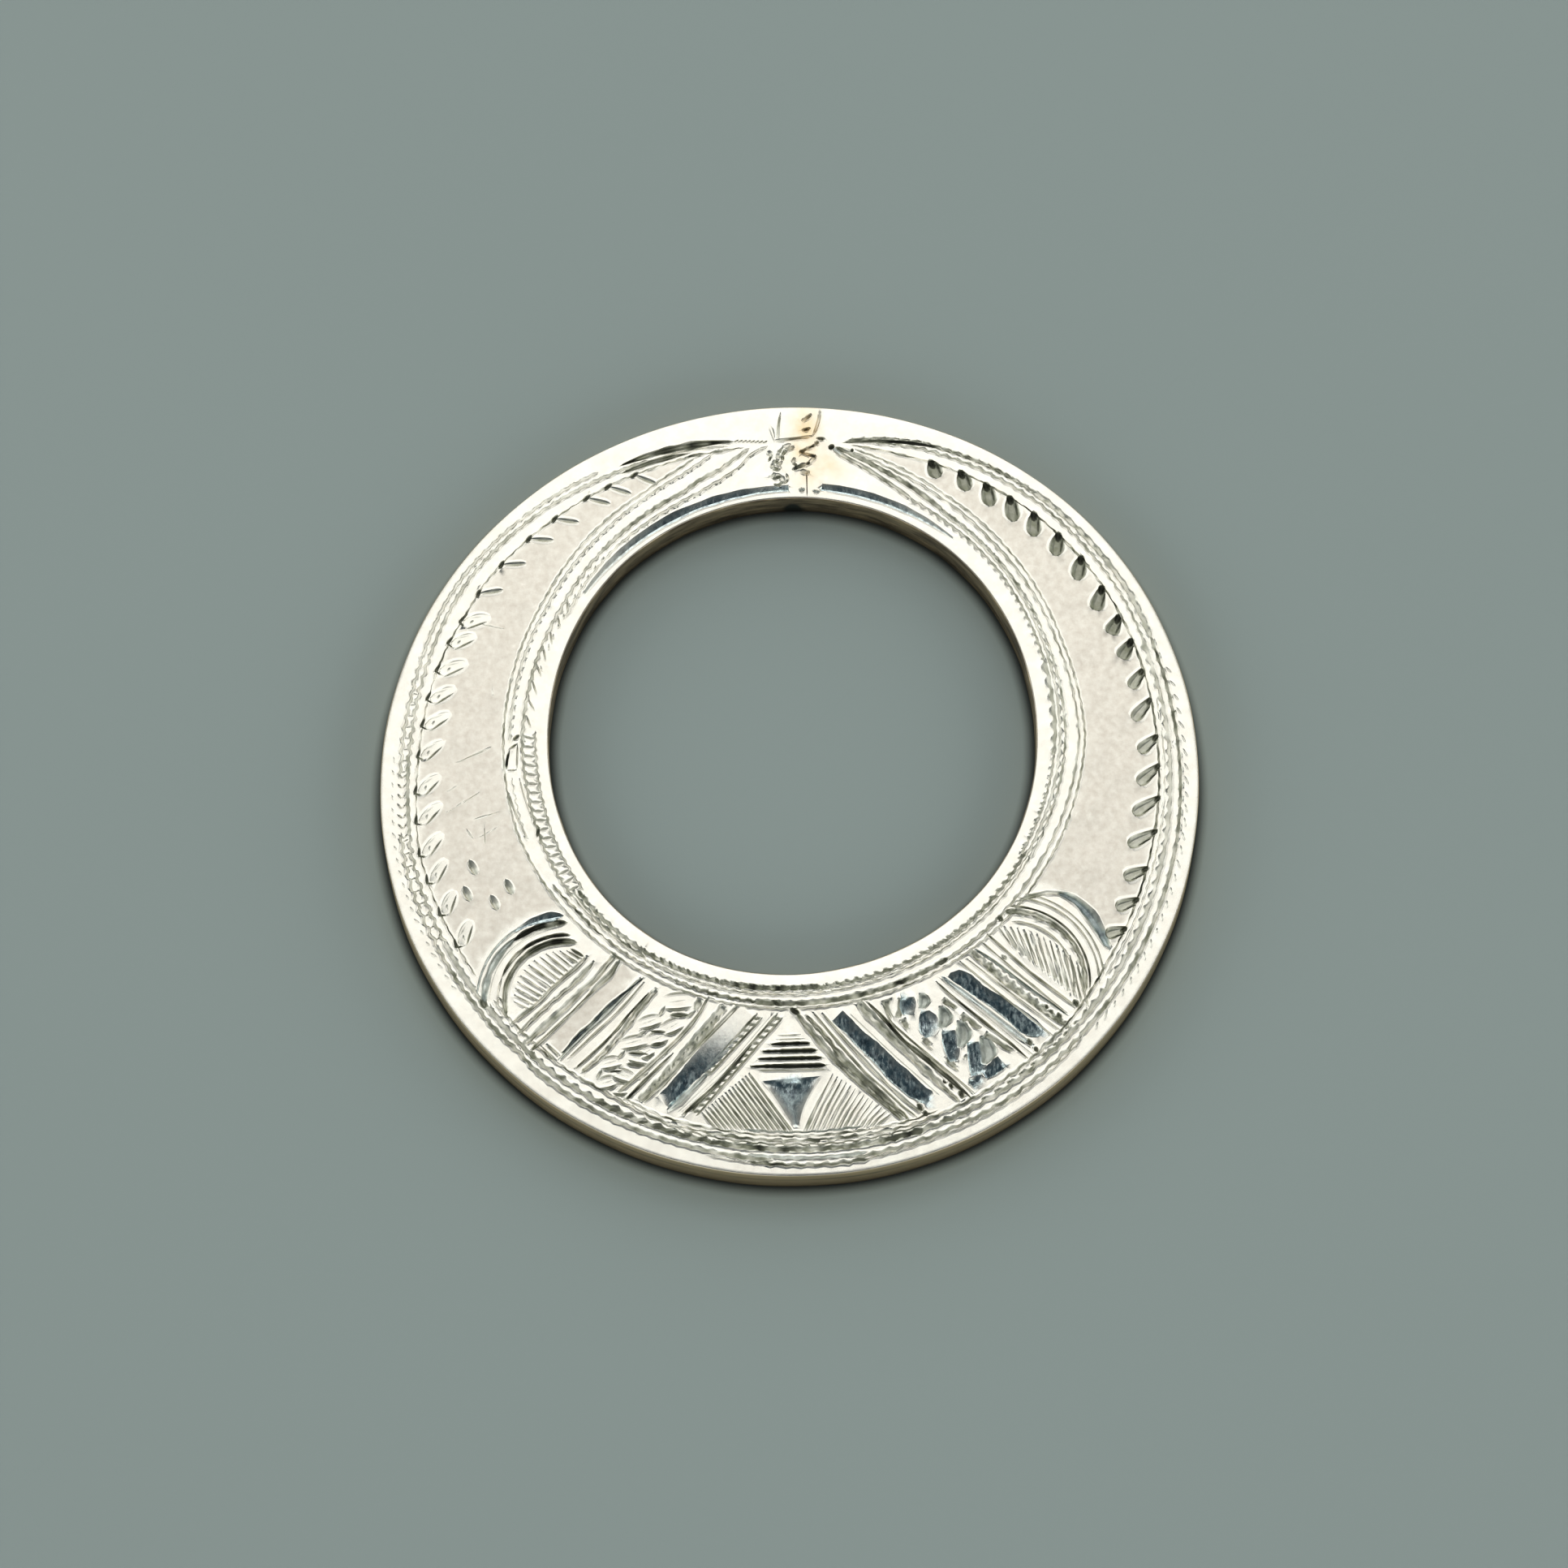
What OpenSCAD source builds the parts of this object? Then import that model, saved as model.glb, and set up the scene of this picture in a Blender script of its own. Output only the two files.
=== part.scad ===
// Engraved silver ring pendant: a flat plate, a round opening set towards the top, and a cut face.
// Origin on the opening's axis at the back face, +Z out of the engraved face, +Y towards the seam.

/* [Plate] */
// Radius of the round opening
opening_r = 13.6; // [13:0.1:14]
// Thickness of the plate
plate_t = 2.4; // [1.6:0.1:3]
// Radius of the outer outline's two round ends
outer_r = 22.15; // [21.9:0.05:22.5]
// Distance between the centres of the two round ends, which makes the outline wider than high
outer_spread = 0.9; // [0.4:0.1:1.4]
// How far the outer outline's centre lies below the opening's axis
outer_drop = 2.97; // [2.8:0.01:3.2]
// How far the outer outline's centre lies to the left of the opening's axis
outer_left = 0.2; // [0:0.05:0.3]
// Width of the bevel on both outer edges
rim_bevel = 0.2; // [0.1:0.05:0.3]
// Width of the bevel on both edges of the opening
opening_bevel = 0.14; // [0.1:0.02:0.2]

/* [Border lines] */
// Width of a bold border groove at the face
bold_w = 0.44; // [0.3:0.02:0.5]
// Depth of a bold border groove
bold_d = 0.16; // [0.1:0.01:0.2]
// Width of a fine border groove at the face
fine_w = 0.26; // [0.2:0.02:0.3]
// Depth of a fine border groove
fine_d = 0.1; // [0.06:0.01:0.14]

/* [Tooth cuts] */
// Length of a tooth cut from its point to its round end
tooth_len = 1.25; // [0.9:0.05:1.4]
// Width of a tooth cut at its round end
tooth_w = 0.74; // [0.5:0.02:0.8]
// Depth of a tooth cut at its round end
tooth_d = 0.16; // [0.1:0.01:0.2]
// How far a tooth cut leans clockwise from the radius, in degrees
tooth_lean = 34; // [25:1:45]

/* [Ornament field] */
// Width of a sunk facet band
band_w = 1; // [0.7:0.05:1.1]
// Depth of a sunk facet band at its steep side
band_d = 0.2; // [0.1:0.01:0.25]
// Width of one hatch stroke
hatch_w = 0.2; // [0.14:0.01:0.24]
// Depth of one hatch stroke
hatch_d = 0.08; // [0.05:0.01:0.12]
// Depth of the flat sunk grounds
ground_d = 0.12; // [0.08:0.01:0.16]

/* [Hidden] */
$fn = 96;
silver = [0.87, 0.85, 0.8];
// Clearance that every cut reaches above the face
over = 0.3;
// Centre of the outer border's circles, a little up and left of the outline's own
outer_centre = [-outer_left - 0.1, 0.18 - outer_drop];
// Outer border grooves: distance in from the outline, width, depth, start angle, sweep
outer_lines = [
    [1, fine_w, fine_d, 120, 312],
    [1.45, bold_w, bold_d, 120, 310],
    [2.1, fine_w, fine_d, 106, 332]
];
// Centre of the inner border's circles
inner_centre = [0.1, 0.18];
// Inner border grooves: radius, width, depth, start angle, sweep
inner_lines = [
    [14.6, bold_w, bold_d, 126, 290],
    [15.08, fine_w, fine_d, 124, 293],
    [15.62, fine_w, fine_d, 128, 288],
    [15.96, fine_w, fine_d, 128, 288]
];
// Angles where the tooth cuts start on the right, and on the left
teeth_right = [68.5, 64, 59, 55, 50.5, 45.5, 40.5, 35, 30, 25, 20, 15, 9.5, 4.5, -0.5, -6, -12, -17, -22.5];
teeth_left = [115, 120, 124, 130, 135, 141, 147, 152, 156, 161, 166, 171, 175, 181, 186, 191, 196, 201, 207];
// The slanting lines of the ornament field: start x, y, end x, y, width, depth
slant_lines = [
    [-0.9, -16.2, -5.1, -21.3, bold_w, bold_d],
    [-1.7, -16, -6.1, -21.1, bold_w, bold_d],
    [-4, -15.8, -8, -20.4, fine_w, fine_d],
    [-4.9, -15.4, -8.9, -20.2, bold_w, bold_d],
    [-7.4, -14.7, -11.1, -18.9, bold_w, bold_d],
    [-7.9, -14.3, -11.8, -18.7, fine_w, fine_d],
    [-10, -13.1, -13.9, -17.4, bold_w, bold_d],
    [-10.8, -12.8, -15.1, -16.6, bold_w, bold_d],
    [0.7, -16.2, 6.2, -21.5, bold_w, bold_d],
    [1.3, -16.1, 6.8, -21.3, fine_w, fine_d],
    [3.7, -15.5, 8.7, -20.6, fine_w, fine_d],
    [4.5, -15.4, 9.6, -20.4, bold_w, bold_d],
    [8, -14.2, 12.8, -18.5, bold_w, bold_d],
    [9.6, -12.9, 14.2, -16.8, fine_w, fine_d],
    [10.3, -12.4, 14.8, -16.2, bold_w, bold_d],
    [10.9, -11.6, 15.4, -15.4, bold_w, bold_d]
];
// The sunk facet bands: middle x, y, length, direction, and the side that is deep
facet_bands = [
    [-4.45, -18.3, 5.8, 229, 1],
    [-10.6, -15.6, 5.4, 231, 1],
    [4.9, -18.4, 6, -45, -1],
    [11.1, -15.2, 5, -39, -1]
];

// Ring section that follows one round edge of the plate, bevelled at both faces
module disc(r, bevel)
    rotate_extrude()
        polygon([[0, 0], [r - bevel, 0], [r, bevel], [r, plate_t - bevel],
            [r - bevel, plate_t], [0, plate_t]]);

// Straight piece between the two round ends of the outline
module bridge(half, bevel)
    translate([outer_spread / 2, 0, 0]) rotate([0, -90, 0])
        linear_extrude(height = outer_spread)
            polygon([[0, bevel - half], [bevel, -half], [plate_t - bevel, -half], [plate_t, bevel - half],
                [plate_t, half - bevel], [plate_t - bevel, half], [bevel, half], [0, half - bevel]]);

module blank() {
    translate([-outer_left, -outer_drop, 0]) {
        for (side = [-1, 1])
            translate([side * outer_spread / 2, 0, 0]) disc(outer_r, rim_bevel);
        bridge(outer_r, rim_bevel);
    }
}

// The round opening with a bevel at each face
module opening() {
    translate([0, 0, -1]) cylinder(h = plate_t + 2, r = opening_r);
    translate([0, 0, plate_t - opening_bevel])
        cylinder(h = 2 * opening_bevel, r1 = opening_r, r2 = opening_r + 2 * opening_bevel);
    translate([0, 0, -opening_bevel])
        cylinder(h = 2 * opening_bevel, r1 = opening_r + 2 * opening_bevel, r2 = opening_r);
}

// V section of a groove, point down, with its mouth carried on above the face
module v_section(w, d)
    polygon([[0, -d], [w / 2 * (1 + over / d), over], [-w / 2 * (1 + over / d), over]]);

// Groove along an arc, from one angle counter-clockwise through a sweep
module arc_groove(r, from, sweep, w, d)
    translate([0, 0, plate_t]) rotate([0, 0, from])
        rotate_extrude(angle = sweep) translate([r, 0]) v_section(w, d);

// Straight groove between two points
module line_groove(x1, y1, x2, y2, w, d)
    translate([x1, y1, plate_t]) rotate([0, 0, atan2(y2 - y1, x2 - x1)]) rotate([90, 0, 90])
        linear_extrude(height = norm([x2 - x1, y2 - y1])) v_section(w, d);

// Stroke pointed at both ends, deepest in the middle, where two crossing V grooves meet
module stroke(x, y, len, dir, w, d) {
    skew = atan2(w, len);
    translate([x, y, plate_t]) rotate([0, 0, dir])
        intersection_for(turn = [-skew, skew])
            rotate([90, 0, 90 + turn])
                linear_extrude(height = 3 * len, center = true) v_section(len * sin(skew), d);
}

// Stroke between two points
module stroke_to(x1, y1, x2, y2, w, d)
    stroke((x1 + x2) / 2, (y1 + y2) / 2, norm([x2 - x1, y2 - y1]), atan2(y2 - y1, x2 - x1), w, d);

// Tooth: a point that widens and sinks towards a round end
module tooth(len, w, d)
    translate([0, 0, plate_t]) rotate([0, atan2(d, len), 0])
        linear_extrude(height = d + over) {
            translate([len - w / 2, 0]) circle(d = w);
            polygon([[0, 0], [len - w / 2, -w / 2], [len - w / 2, w / 2]]);
        }

// Tooth cuts along one side of the outer border, whose line swings out by the given amount halfway up
module tooth_row(angles, swing)
    for (a = angles)
        translate(outer_centre) rotate([0, 0, a]) translate([outer_r - 1.95 + swing * sin(2 * a), 0, 0])
            rotate([0, 0, 180 + tooth_lean]) tooth(tooth_len, tooth_w, tooth_d);

// Facet band: a floor that slopes down to one steep side
module facet_band(x, y, len, dir, side)
    translate([x, y, plate_t]) rotate([0, 0, dir]) translate([-len / 2, 0, 0]) rotate([90, 0, 90])
        linear_extrude(height = len)
            polygon([[-side * band_w / 2, 0], [side * band_w / 2, -band_d],
                [side * (band_w / 2 + 0.04), over], [-side * band_w / 2, over]]);

// Flat sunk ground with the given outline
module ground(points)
    translate([0, 0, plate_t - ground_d]) linear_extrude(height = ground_d + over) polygon(points);

module border_cuts() {
    for (line = outer_lines)
        translate(outer_centre)
            arc_groove(outer_r - line[0], line[3], line[4], line[1], line[2]);
    for (line = inner_lines)
        translate(inner_centre)
            arc_groove(line[0], line[3], line[4], line[1], line[2]);
    tooth_row(teeth_right, 0.3);
    tooth_row(teeth_left, 0);
}

// Lines that leave the opening and rise to a point beside the seam, and the dark crescents above them
module seam_side_cuts() {
    line_groove(-8.8, 12.2, -2.4, 16.6, bold_w, bold_d);
    line_groove(-7.4, 12.75, -1.7, 16.6, fine_w, fine_d);
    line_groove(-9.6, 12.7, -4.1, 16.5, fine_w, fine_d);
    line_groove(8, 13, 2.3, 16.6, bold_w, bold_d);
    line_groove(9.2, 13.3, 3.4, 16.4, fine_w, fine_d);
    translate([-2.9, 0.8, 0]) arc_groove(16.25, 90, 26, bold_w, bold_d);
    translate([4.7, 1.2, 0]) arc_groove(15.9, 72, 25, bold_w, bold_d);
}

// Facet along the top of the opening
module opening_facet()
    translate([0, 0, plate_t]) rotate([0, 0, 55])
        rotate_extrude(angle = 88)
            polygon([[opening_r + 0.45, over], [opening_r + 0.45, -ground_d], [opening_r + 0.9, 0],
                [opening_r + 0.9, over]]);

module left_lunette() {
    translate([-12.4, -15.1, 0]) {
        arc_groove(2.95, 50, 150, fine_w, fine_d);
        arc_groove(3.5, 60, 130, bold_w, bold_d);
        arc_groove(4.4, 75, 105, bold_w + 0.1, bold_d);
    }
    for (i = [0 : 8])
        stroke(-12.35 - 0.2 * i, -12.8 - 0.3 * i, 1.7 + 0.08 * i - 0.02 * i * i, -27, hatch_w, hatch_d);
}

module right_lunette() {
    translate([12, -14.1, 0]) {
        arc_groove(3.5, -22, 110, fine_w, fine_d);
        arc_groove(4.05, -14, 104, bold_w, bold_d);
        arc_groove(5.35, 17, 60, bold_w + 0.1, bold_d);
    }
    for (i = [0 : 5])
        stroke(11.75 + 0.62 * i, -11.55 - 0.42 * i, 1.5 + 0.15 * i, 93, 0.24, hatch_d);
}

module centre_triangle() {
    for (i = [0 : 3])
        stroke(-0.1, -17.6 - 0.42 * i, 1.9 + 0.75 * i, 1, hatch_w + 0.02, hatch_d + 0.04);
    stroke(-0.2, -19.45, 4, 0, 0.5, 0.12);
    ground([[-1.5, -19.9], [1.45, -19.8], [0.8, -20.8], [0.45, -22.2], [0.05, -22.2]]);
    for (i = [0 : 10])
        stroke_to(-2.35 - 0.2 * i, -19.6 - 0.2 * i, -0.3 - 0.33 * i, -22.3, hatch_w, hatch_d);
    for (i = [0 : 8])
        stroke_to(2.2 + 0.31 * i, -19.6 - 0.21 * i, 0.85 + 0.42 * i, -22.25 + 0.02 * i, hatch_w, hatch_d);
}

module leaf_panels() {
    for (i = [0 : 3]) {
        stroke(-6.05 - 1.03 * i, -15.85 - 1.23 * i, 1.8, -8, 0.42, 0.14);
        stroke(-6.3 - 1.12 * i, -15.1 - 1.22 * i, 1.4, 12, 0.4, 0.12);
        stroke(5.6 + 1.27 * i, -15.7 - 1.1 * i, 1.7, 88, 0.62, 0.16);
        stroke(7.15 + 1.18 * i, -15.1 - 1.03 * i, 1.5, 92, 0.66, 0.16);
    }
}

module slant_cuts() {
    for (line = slant_lines)
        line_groove(line[0], line[1], line[2], line[3], line[4], line[5]);
    for (band = facet_bands)
        facet_band(band[0], band[1], band[2], band[3], band[4]);
}

// Four almond cuts alone in the left field
module almond_cuts() {
    stroke(-17.5, -7.6, 0.95, -64, 0.42, 0.12);
    stroke(-17.8, -9.1, 1, -62, 0.42, 0.12);
    stroke(-15.5, -8.7, 1, -62, 0.42, 0.12);
    stroke(-16.3, -9.6, 0.95, -66, 0.42, 0.12);
}

// Closed seam at the top: a lap mark like a U and the hairline beside the opening
module seam_cuts() {
    line_groove(-0.6, 18.7, -0.95, 17.1, fine_w, fine_d);
    line_groove(-0.95, 17.1, 1.2, 17.3, fine_w, fine_d);
    line_groove(1.2, 17.3, 1.6, 18.8, fine_w, fine_d);
    line_groove(0.8, 15.4, 0.72, 13.2, 0.16, 0.14);
}

// The plate is cut in the order of the work: borders, seam side, slanting lines, then the small panels
module bordered_plate()
    difference() {
        blank();
        opening();
        border_cuts();
    }

module seamed_plate()
    difference() {
        bordered_plate();
        seam_side_cuts();
        opening_facet();
        almond_cuts();
        seam_cuts();
    }

module lined_plate()
    difference() {
        seamed_plate();
        slant_cuts();
    }

module ring_plate()
    color(silver)
        difference() {
            lined_plate();
            left_lunette();
            right_lunette();
            centre_triangle();
            leaf_panels();
        }

ring_plate();
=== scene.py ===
"""Engraved silver ring pendant, lying flat on a grey-green board.

Metres in the CAD's own frame. The plate is worked out in millimetres and scaled once, as its mesh is made.
"""
import math

import bpy
import numpy as np
from mathutils.geometry import delaunay_2d_cdt
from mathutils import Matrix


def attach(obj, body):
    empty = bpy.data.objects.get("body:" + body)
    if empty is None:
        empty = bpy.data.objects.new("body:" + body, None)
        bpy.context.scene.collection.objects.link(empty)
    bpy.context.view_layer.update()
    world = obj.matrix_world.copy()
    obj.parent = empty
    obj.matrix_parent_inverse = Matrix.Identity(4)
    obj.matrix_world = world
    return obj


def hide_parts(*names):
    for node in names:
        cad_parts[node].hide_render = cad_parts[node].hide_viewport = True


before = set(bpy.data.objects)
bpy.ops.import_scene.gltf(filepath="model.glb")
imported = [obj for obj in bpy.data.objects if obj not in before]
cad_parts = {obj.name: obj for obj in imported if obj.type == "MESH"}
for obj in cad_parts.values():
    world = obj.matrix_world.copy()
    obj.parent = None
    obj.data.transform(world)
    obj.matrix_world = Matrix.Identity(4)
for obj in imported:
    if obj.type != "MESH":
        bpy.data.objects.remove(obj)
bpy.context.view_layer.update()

# Camera.
# A long lens looks down on the plate from the side of the ornament, 73.5 degrees above the floor.
# The lens, distance and aim come from matching the opening and the outline with the photograph.
CAMERA_RISE = 73.5
CAMERA_DISTANCE = 0.45
CAMERA_LENS = 187.8
CAMERA_SENSOR = 36.0
CAMERA_CLIPS = (0.01, 20.0)
CAMERA_TARGET = (-0.00044, -0.002838, 0.0024)

camera_data = bpy.data.cameras.new("photo_camera")
camera_data.lens = CAMERA_LENS
camera_data.sensor_width = CAMERA_SENSOR
camera_data.clip_start, camera_data.clip_end = CAMERA_CLIPS
photo_camera = bpy.data.objects.new("photo_camera", camera_data)
rise = math.radians(CAMERA_RISE)
photo_camera.location = (
    CAMERA_TARGET[0],
    CAMERA_TARGET[1] - CAMERA_DISTANCE * math.cos(rise),
    CAMERA_TARGET[2] + CAMERA_DISTANCE * math.sin(rise),
)
photo_camera.rotation_euler = (math.pi / 2 - rise, 0, 0)
bpy.context.scene.collection.objects.link(photo_camera)
bpy.context.scene.camera = photo_camera
bpy.context.scene.view_settings.view_transform = "Standard"

# Floor.
# A matt grey-green board with hardly any grain. Where the plate's worn lower edge hides it from the light,
# its colour falls to a near black, a painted contact shadow that draws the tight dark line all round
# the plate.
FLOOR_HALF = 1.5
FLOOR_COLOUR = (0.475, 0.56, 0.55)
FLOOR_TONES = (0.97, 1.03)
FLOOR_TONE_SCALE = 14.0
FLOOR_GRAIN_SCALE = 900.0
FLOOR_ROUGHNESS = 0.75
FLOOR_SPECULAR = 0.25
CONTACT_SHADOW_COLOUR = (0.012, 0.014, 0.013)
CONTACT_REACH = 0.0007
CONTACT_HIDDEN = 0.55
CONTACT_LEAST = 0.06

floor_mesh = bpy.data.meshes.new("floor_board")
corners = [(x * FLOOR_HALF, y * FLOOR_HALF, 0) for x, y in ((-1, -1), (1, -1), (1, 1), (-1, 1))]
floor_mesh.from_pydata(corners, [], [(0, 1, 2, 3)])
floor_board = bpy.data.objects.new("floor_board", floor_mesh)
bpy.context.scene.collection.objects.link(floor_board)


def new_material(name):
    """A material, its node tree and the Principled BSDF in it."""
    material = bpy.data.materials.new(name)
    material.use_nodes = True
    return material, material.node_tree, material.node_tree.nodes["Principled BSDF"]


def node(tree, kind, inputs=(), **settings):
    """Adds a node; inputs pairs a socket with a value or with another node's output."""
    made = tree.nodes.new(kind)
    for name, value in settings.items():
        setattr(made, name, value)
    for socket, value in dict(inputs).items():
        if isinstance(value, bpy.types.NodeSocket):
            tree.links.new(value, made.inputs[socket])
        else:
            made.inputs[socket].default_value = value
    return made


def mix(tree, share, first, second):
    """The first colour where the share is 0, the second where it is 1, and a mix between."""
    inputs = {"Factor": share, "A": first, "B": second}
    return node(tree, "ShaderNodeMix", inputs, data_type="RGBA").outputs["Result"]


floor_finish, tree, shader = new_material("floor_board")
place = node(tree, "ShaderNodeTexCoord").outputs["Object"]
grain = node(tree, "ShaderNodeTexNoise", {"Vector": place, "Scale": FLOOR_GRAIN_SCALE, "Detail": 3.0})
tone = node(tree, "ShaderNodeTexNoise", {"Vector": place, "Scale": FLOOR_TONE_SCALE, "Detail": 2.0})
darker, lighter = ((*(channel * share for channel in FLOOR_COLOUR), 1) for share in FLOOR_TONES)
board_colour = mix(tree, tone.outputs["Fac"], darker, lighter)
bump = node(tree, "ShaderNodeBump", {"Height": grain.outputs["Fac"], "Strength": 0.1, "Distance": 0.00005})
# Painted contact shadow: ambient occlusion from the plate darkens the board's own colour to near black.
seen_sky = node(tree, "ShaderNodeAmbientOcclusion", {"Distance": CONTACT_REACH}, samples=12).outputs["AO"]
lit = node(tree, "ShaderNodeMapRange", {
    "Value": seen_sky, "From Min": CONTACT_HIDDEN, "From Max": 1.0, "To Min": CONTACT_LEAST})
board_colour = mix(tree, lit.outputs["Result"], (*CONTACT_SHADOW_COLOUR, 1), board_colour)
tree.links.new(board_colour, shader.inputs["Base Color"])
tree.links.new(bump.outputs["Normal"], shader.inputs["Normal"])
shader.inputs["Roughness"].default_value = FLOOR_ROUGHNESS
shader.inputs["Specular IOR Level"].default_value = FLOOR_SPECULAR
floor_mesh.materials.append(floor_finish)

# Studio light.
# One soft box stands beyond the pendant, where the flat face mirrors it, and small ones stand all round.
# The walls of the studio are pale, and the ceiling is dark, which the tilted facets mirror.
CEILING_COLOUR = (0.035, 0.052, 0.062)
WALL_COLOUR = (0.46, 0.475, 0.45)
CEILING_STARTS, WALLS_END = 0.86, 0.55
MAIN_BEARING, MAIN_RISE = 90.0, 63.0
MAIN_DISTANCE = 0.9
MAIN_SIZE = 0.62
MAIN_WATTS = 1.52
MAIN_COLOUR = (1.0, 0.985, 0.94)
FILL_BEARINGS = (20.0, 100.0, 170.0, 250.0, 310.0)
FILL_RISE = 24.0
FILL_DISTANCE = 1.1
FILL_SIZE = 0.5
FILL_WATTS = 0.7
FILL_COLOUR = (0.96, 1.0, 0.97)

room = bpy.data.worlds.new("room")
room.use_nodes = True
sky = room.node_tree
direction = node(sky, "ShaderNodeTexCoord").outputs["Generated"]
upwards = node(sky, "ShaderNodeSeparateXYZ", {"Vector": direction}).outputs["Z"]
ceiling = node(sky, "ShaderNodeMapRange", {
    "Value": upwards, "From Min": WALLS_END, "From Max": CEILING_STARTS}, interpolation_type="SMOOTHSTEP")
room_colour = mix(sky, ceiling.outputs["Result"], (*WALL_COLOUR, 1), (*CEILING_COLOUR, 1))
sky.links.new(room_colour, sky.nodes["Background"].inputs["Color"])
bpy.context.scene.world = room


def soft_box(name, bearing, height, distance, size, watts, colour):
    """A square area light, placed by its bearing and height in degrees as seen from the pendant, and
    aimed at it."""
    lamp = bpy.data.lights.new(name, "AREA")
    lamp.shape = "SQUARE"
    lamp.size = size
    lamp.energy = watts
    lamp.color = colour
    stand = bpy.data.objects.new(name, lamp)
    turn, up = math.radians(bearing), math.radians(height)
    stand.location = (
        distance * math.cos(up) * math.cos(turn),
        distance * math.cos(up) * math.sin(turn),
        distance * math.sin(up),
    )
    stand.rotation_euler = (0, math.pi / 2 - up, turn)
    bpy.context.scene.collection.objects.link(stand)


soft_box("main_soft_box", MAIN_BEARING, MAIN_RISE, MAIN_DISTANCE, MAIN_SIZE, MAIN_WATTS, MAIN_COLOUR)
for number, bearing in enumerate(FILL_BEARINGS):
    name = f"fill_soft_box_{number}"
    soft_box(name, bearing, FILL_RISE, FILL_DISTANCE, FILL_SIZE, FILL_WATTS, FILL_COLOUR)

# Ring plate: blank.
# A flat plate of cast and filed silver with a round opening set towards the top.
# Both outlines are a little out of round, so each is a radius with a few slow waves round the turn.
OPENING_CENTRE = (0.0, 0.0)
OPENING_R = 13.723
OPENING_WAVES = [(1, 0.001, -0.001), (2, -0.125, 0.092), (3, 0.023, -0.051), (4, -0.064, -0.030)]
OUTLINE_CENTRE = (-0.22, -2.966)
OUTLINE_R = 22.268
OUTLINE_WAVES = [(1, 0.141, 0.040), (2, 0.218, 0.092), (3, -0.057, 0.043), (4, -0.033, 0.013)]


def wavy_radius(mean, waves, angle):
    """Mean radius plus cosine and sine waves of the angle, in radians."""
    return mean + sum(c * np.cos(k * angle) + s * np.sin(k * angle) for k, c, s in waves)


def opening_radius(degrees):
    """Radius of the opening about its own centre."""
    return wavy_radius(OPENING_R, OPENING_WAVES, np.radians(degrees))


def outline_radius(degrees):
    """Radius of the outer outline about its own centre."""
    return wavy_radius(OUTLINE_R, OUTLINE_WAVES, np.radians(degrees))


# Graver cuts.
# Every cut is a V carried along a path. At each station it has a middle, a left and right edge, a floor
# line and a depth, and it pushes up a small lip beside it. Its lines go into the net of the face.
LIP_WIDTH = 0.1
END_WIDTH = 0.04
REACH_MARGIN = 0.05
SWING = np.array([-0.9, -0.7, 0.9, 0.7])
SAW = np.array([0.0, 0.35, 1.0, 0.3])
rng = np.random.default_rng(11)
net_lines = []
cuts = []


def from_chart(chart, along, across):
    """Point at a distance along and across a straight chart, or at an angle and radius of a round one."""
    x, y, heading, is_round = chart
    if is_round:
        angle = np.radians(along + heading)
        return np.stack([x + across * np.cos(angle), y + across * np.sin(angle)], -1)
    c, s = math.cos(math.radians(heading)), math.sin(math.radians(heading))
    return np.stack([x + along * c - across * s, y + along * s + across * c], -1)


def to_chart(chart, points):
    """The other way round: where points lie along and across a chart."""
    x, y, heading, is_round = chart
    dx, dy = points[:, 0] - x, points[:, 1] - y
    if is_round:
        return np.mod(np.degrees(np.arctan2(dy, dx)) - heading + 2, 360) - 2, np.hypot(dx, dy)
    c, s = math.cos(math.radians(heading)), math.sin(math.radians(heading))
    return dx * c + dy * s, -dx * s + dy * c


def carve(chart, along, middle, left, right, floor, depth, flat=1.4, bowl=1.0, lip=1.0, halo=LIP_WIDTH,
          dull=0.7, blue=0.0):
    """One cut. Its section is a V from each edge to the floor line, cut off flat at its depth where flat
    is over 1, and round like a gouge's where bowl is over 1. Lip is the share of the lip's height, and
    halo its width. Dull is how much tarnish the cut holds, and blue how far it is a bright facet that
    mirrors the dark, which also gives it the painted blue-grey reflection colour."""
    rows = np.array(np.broadcast_arrays(along, middle, left, right, floor, depth, dull, blue), float)
    along, middle, left, right, floor = rows[:5]
    edges, floors, between_them = [middle + left, middle - right], [middle + floor], []
    if flat > 1:
        floors = [middle + left + (floor - left) / flat, middle - right + (floor + right) / flat]
    if bowl > 1:
        between_them = [middle + left + share * (floor - left) for share in (0.25, 0.5, 0.75)]
        between_them += [middle - right + share * (floor + right) for share in (0.25, 0.5, 0.75)]
    lips = [middle + left + halo, middle - right - halo] if lip > 0 else []
    crisp_ones, soft_ones = (edges, between_them + floors) if bowl > 1 else (edges + floors, [])
    crisp_lines = [from_chart(chart, along, across) for across in crisp_ones]
    soft_lines = [from_chart(chart, along, across) for across in soft_ones]
    crisp_lines += [from_chart(chart, along[::2], across[::2]) for across in lips]
    for station in (0, -1):
        if left[station] + right[station] > END_WIDTH:
            crisp_lines.append(np.array([crisp_lines[0][station], crisp_lines[1][station]]))
    net_lines.extend((line, True) for line in crisp_lines)
    net_lines.extend((line, False) for line in soft_lines)
    reach = np.concatenate(crisp_lines + soft_lines)
    low, high = reach.min(0) - REACH_MARGIN, reach.max(0) + REACH_MARGIN
    cuts.append((chart, rows, flat, bowl, lip, halo, low, high))


def repeat(pattern, count, lag, amount):
    """A pattern of four stations over and over, begun a few stations later, times an amount."""
    return amount * pattern[(np.arange(count) + lag) % 4]


def tapered(along, run):
    """Share from 0 at both ends of a path to 1 over the given run: the root of the distance over the run."""
    length = along[-1] - along[0]
    run = min(run, length / 2)
    return np.sqrt(np.clip(np.minimum(along - along[0], along[-1] - along) / run, 0, 1))


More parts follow.
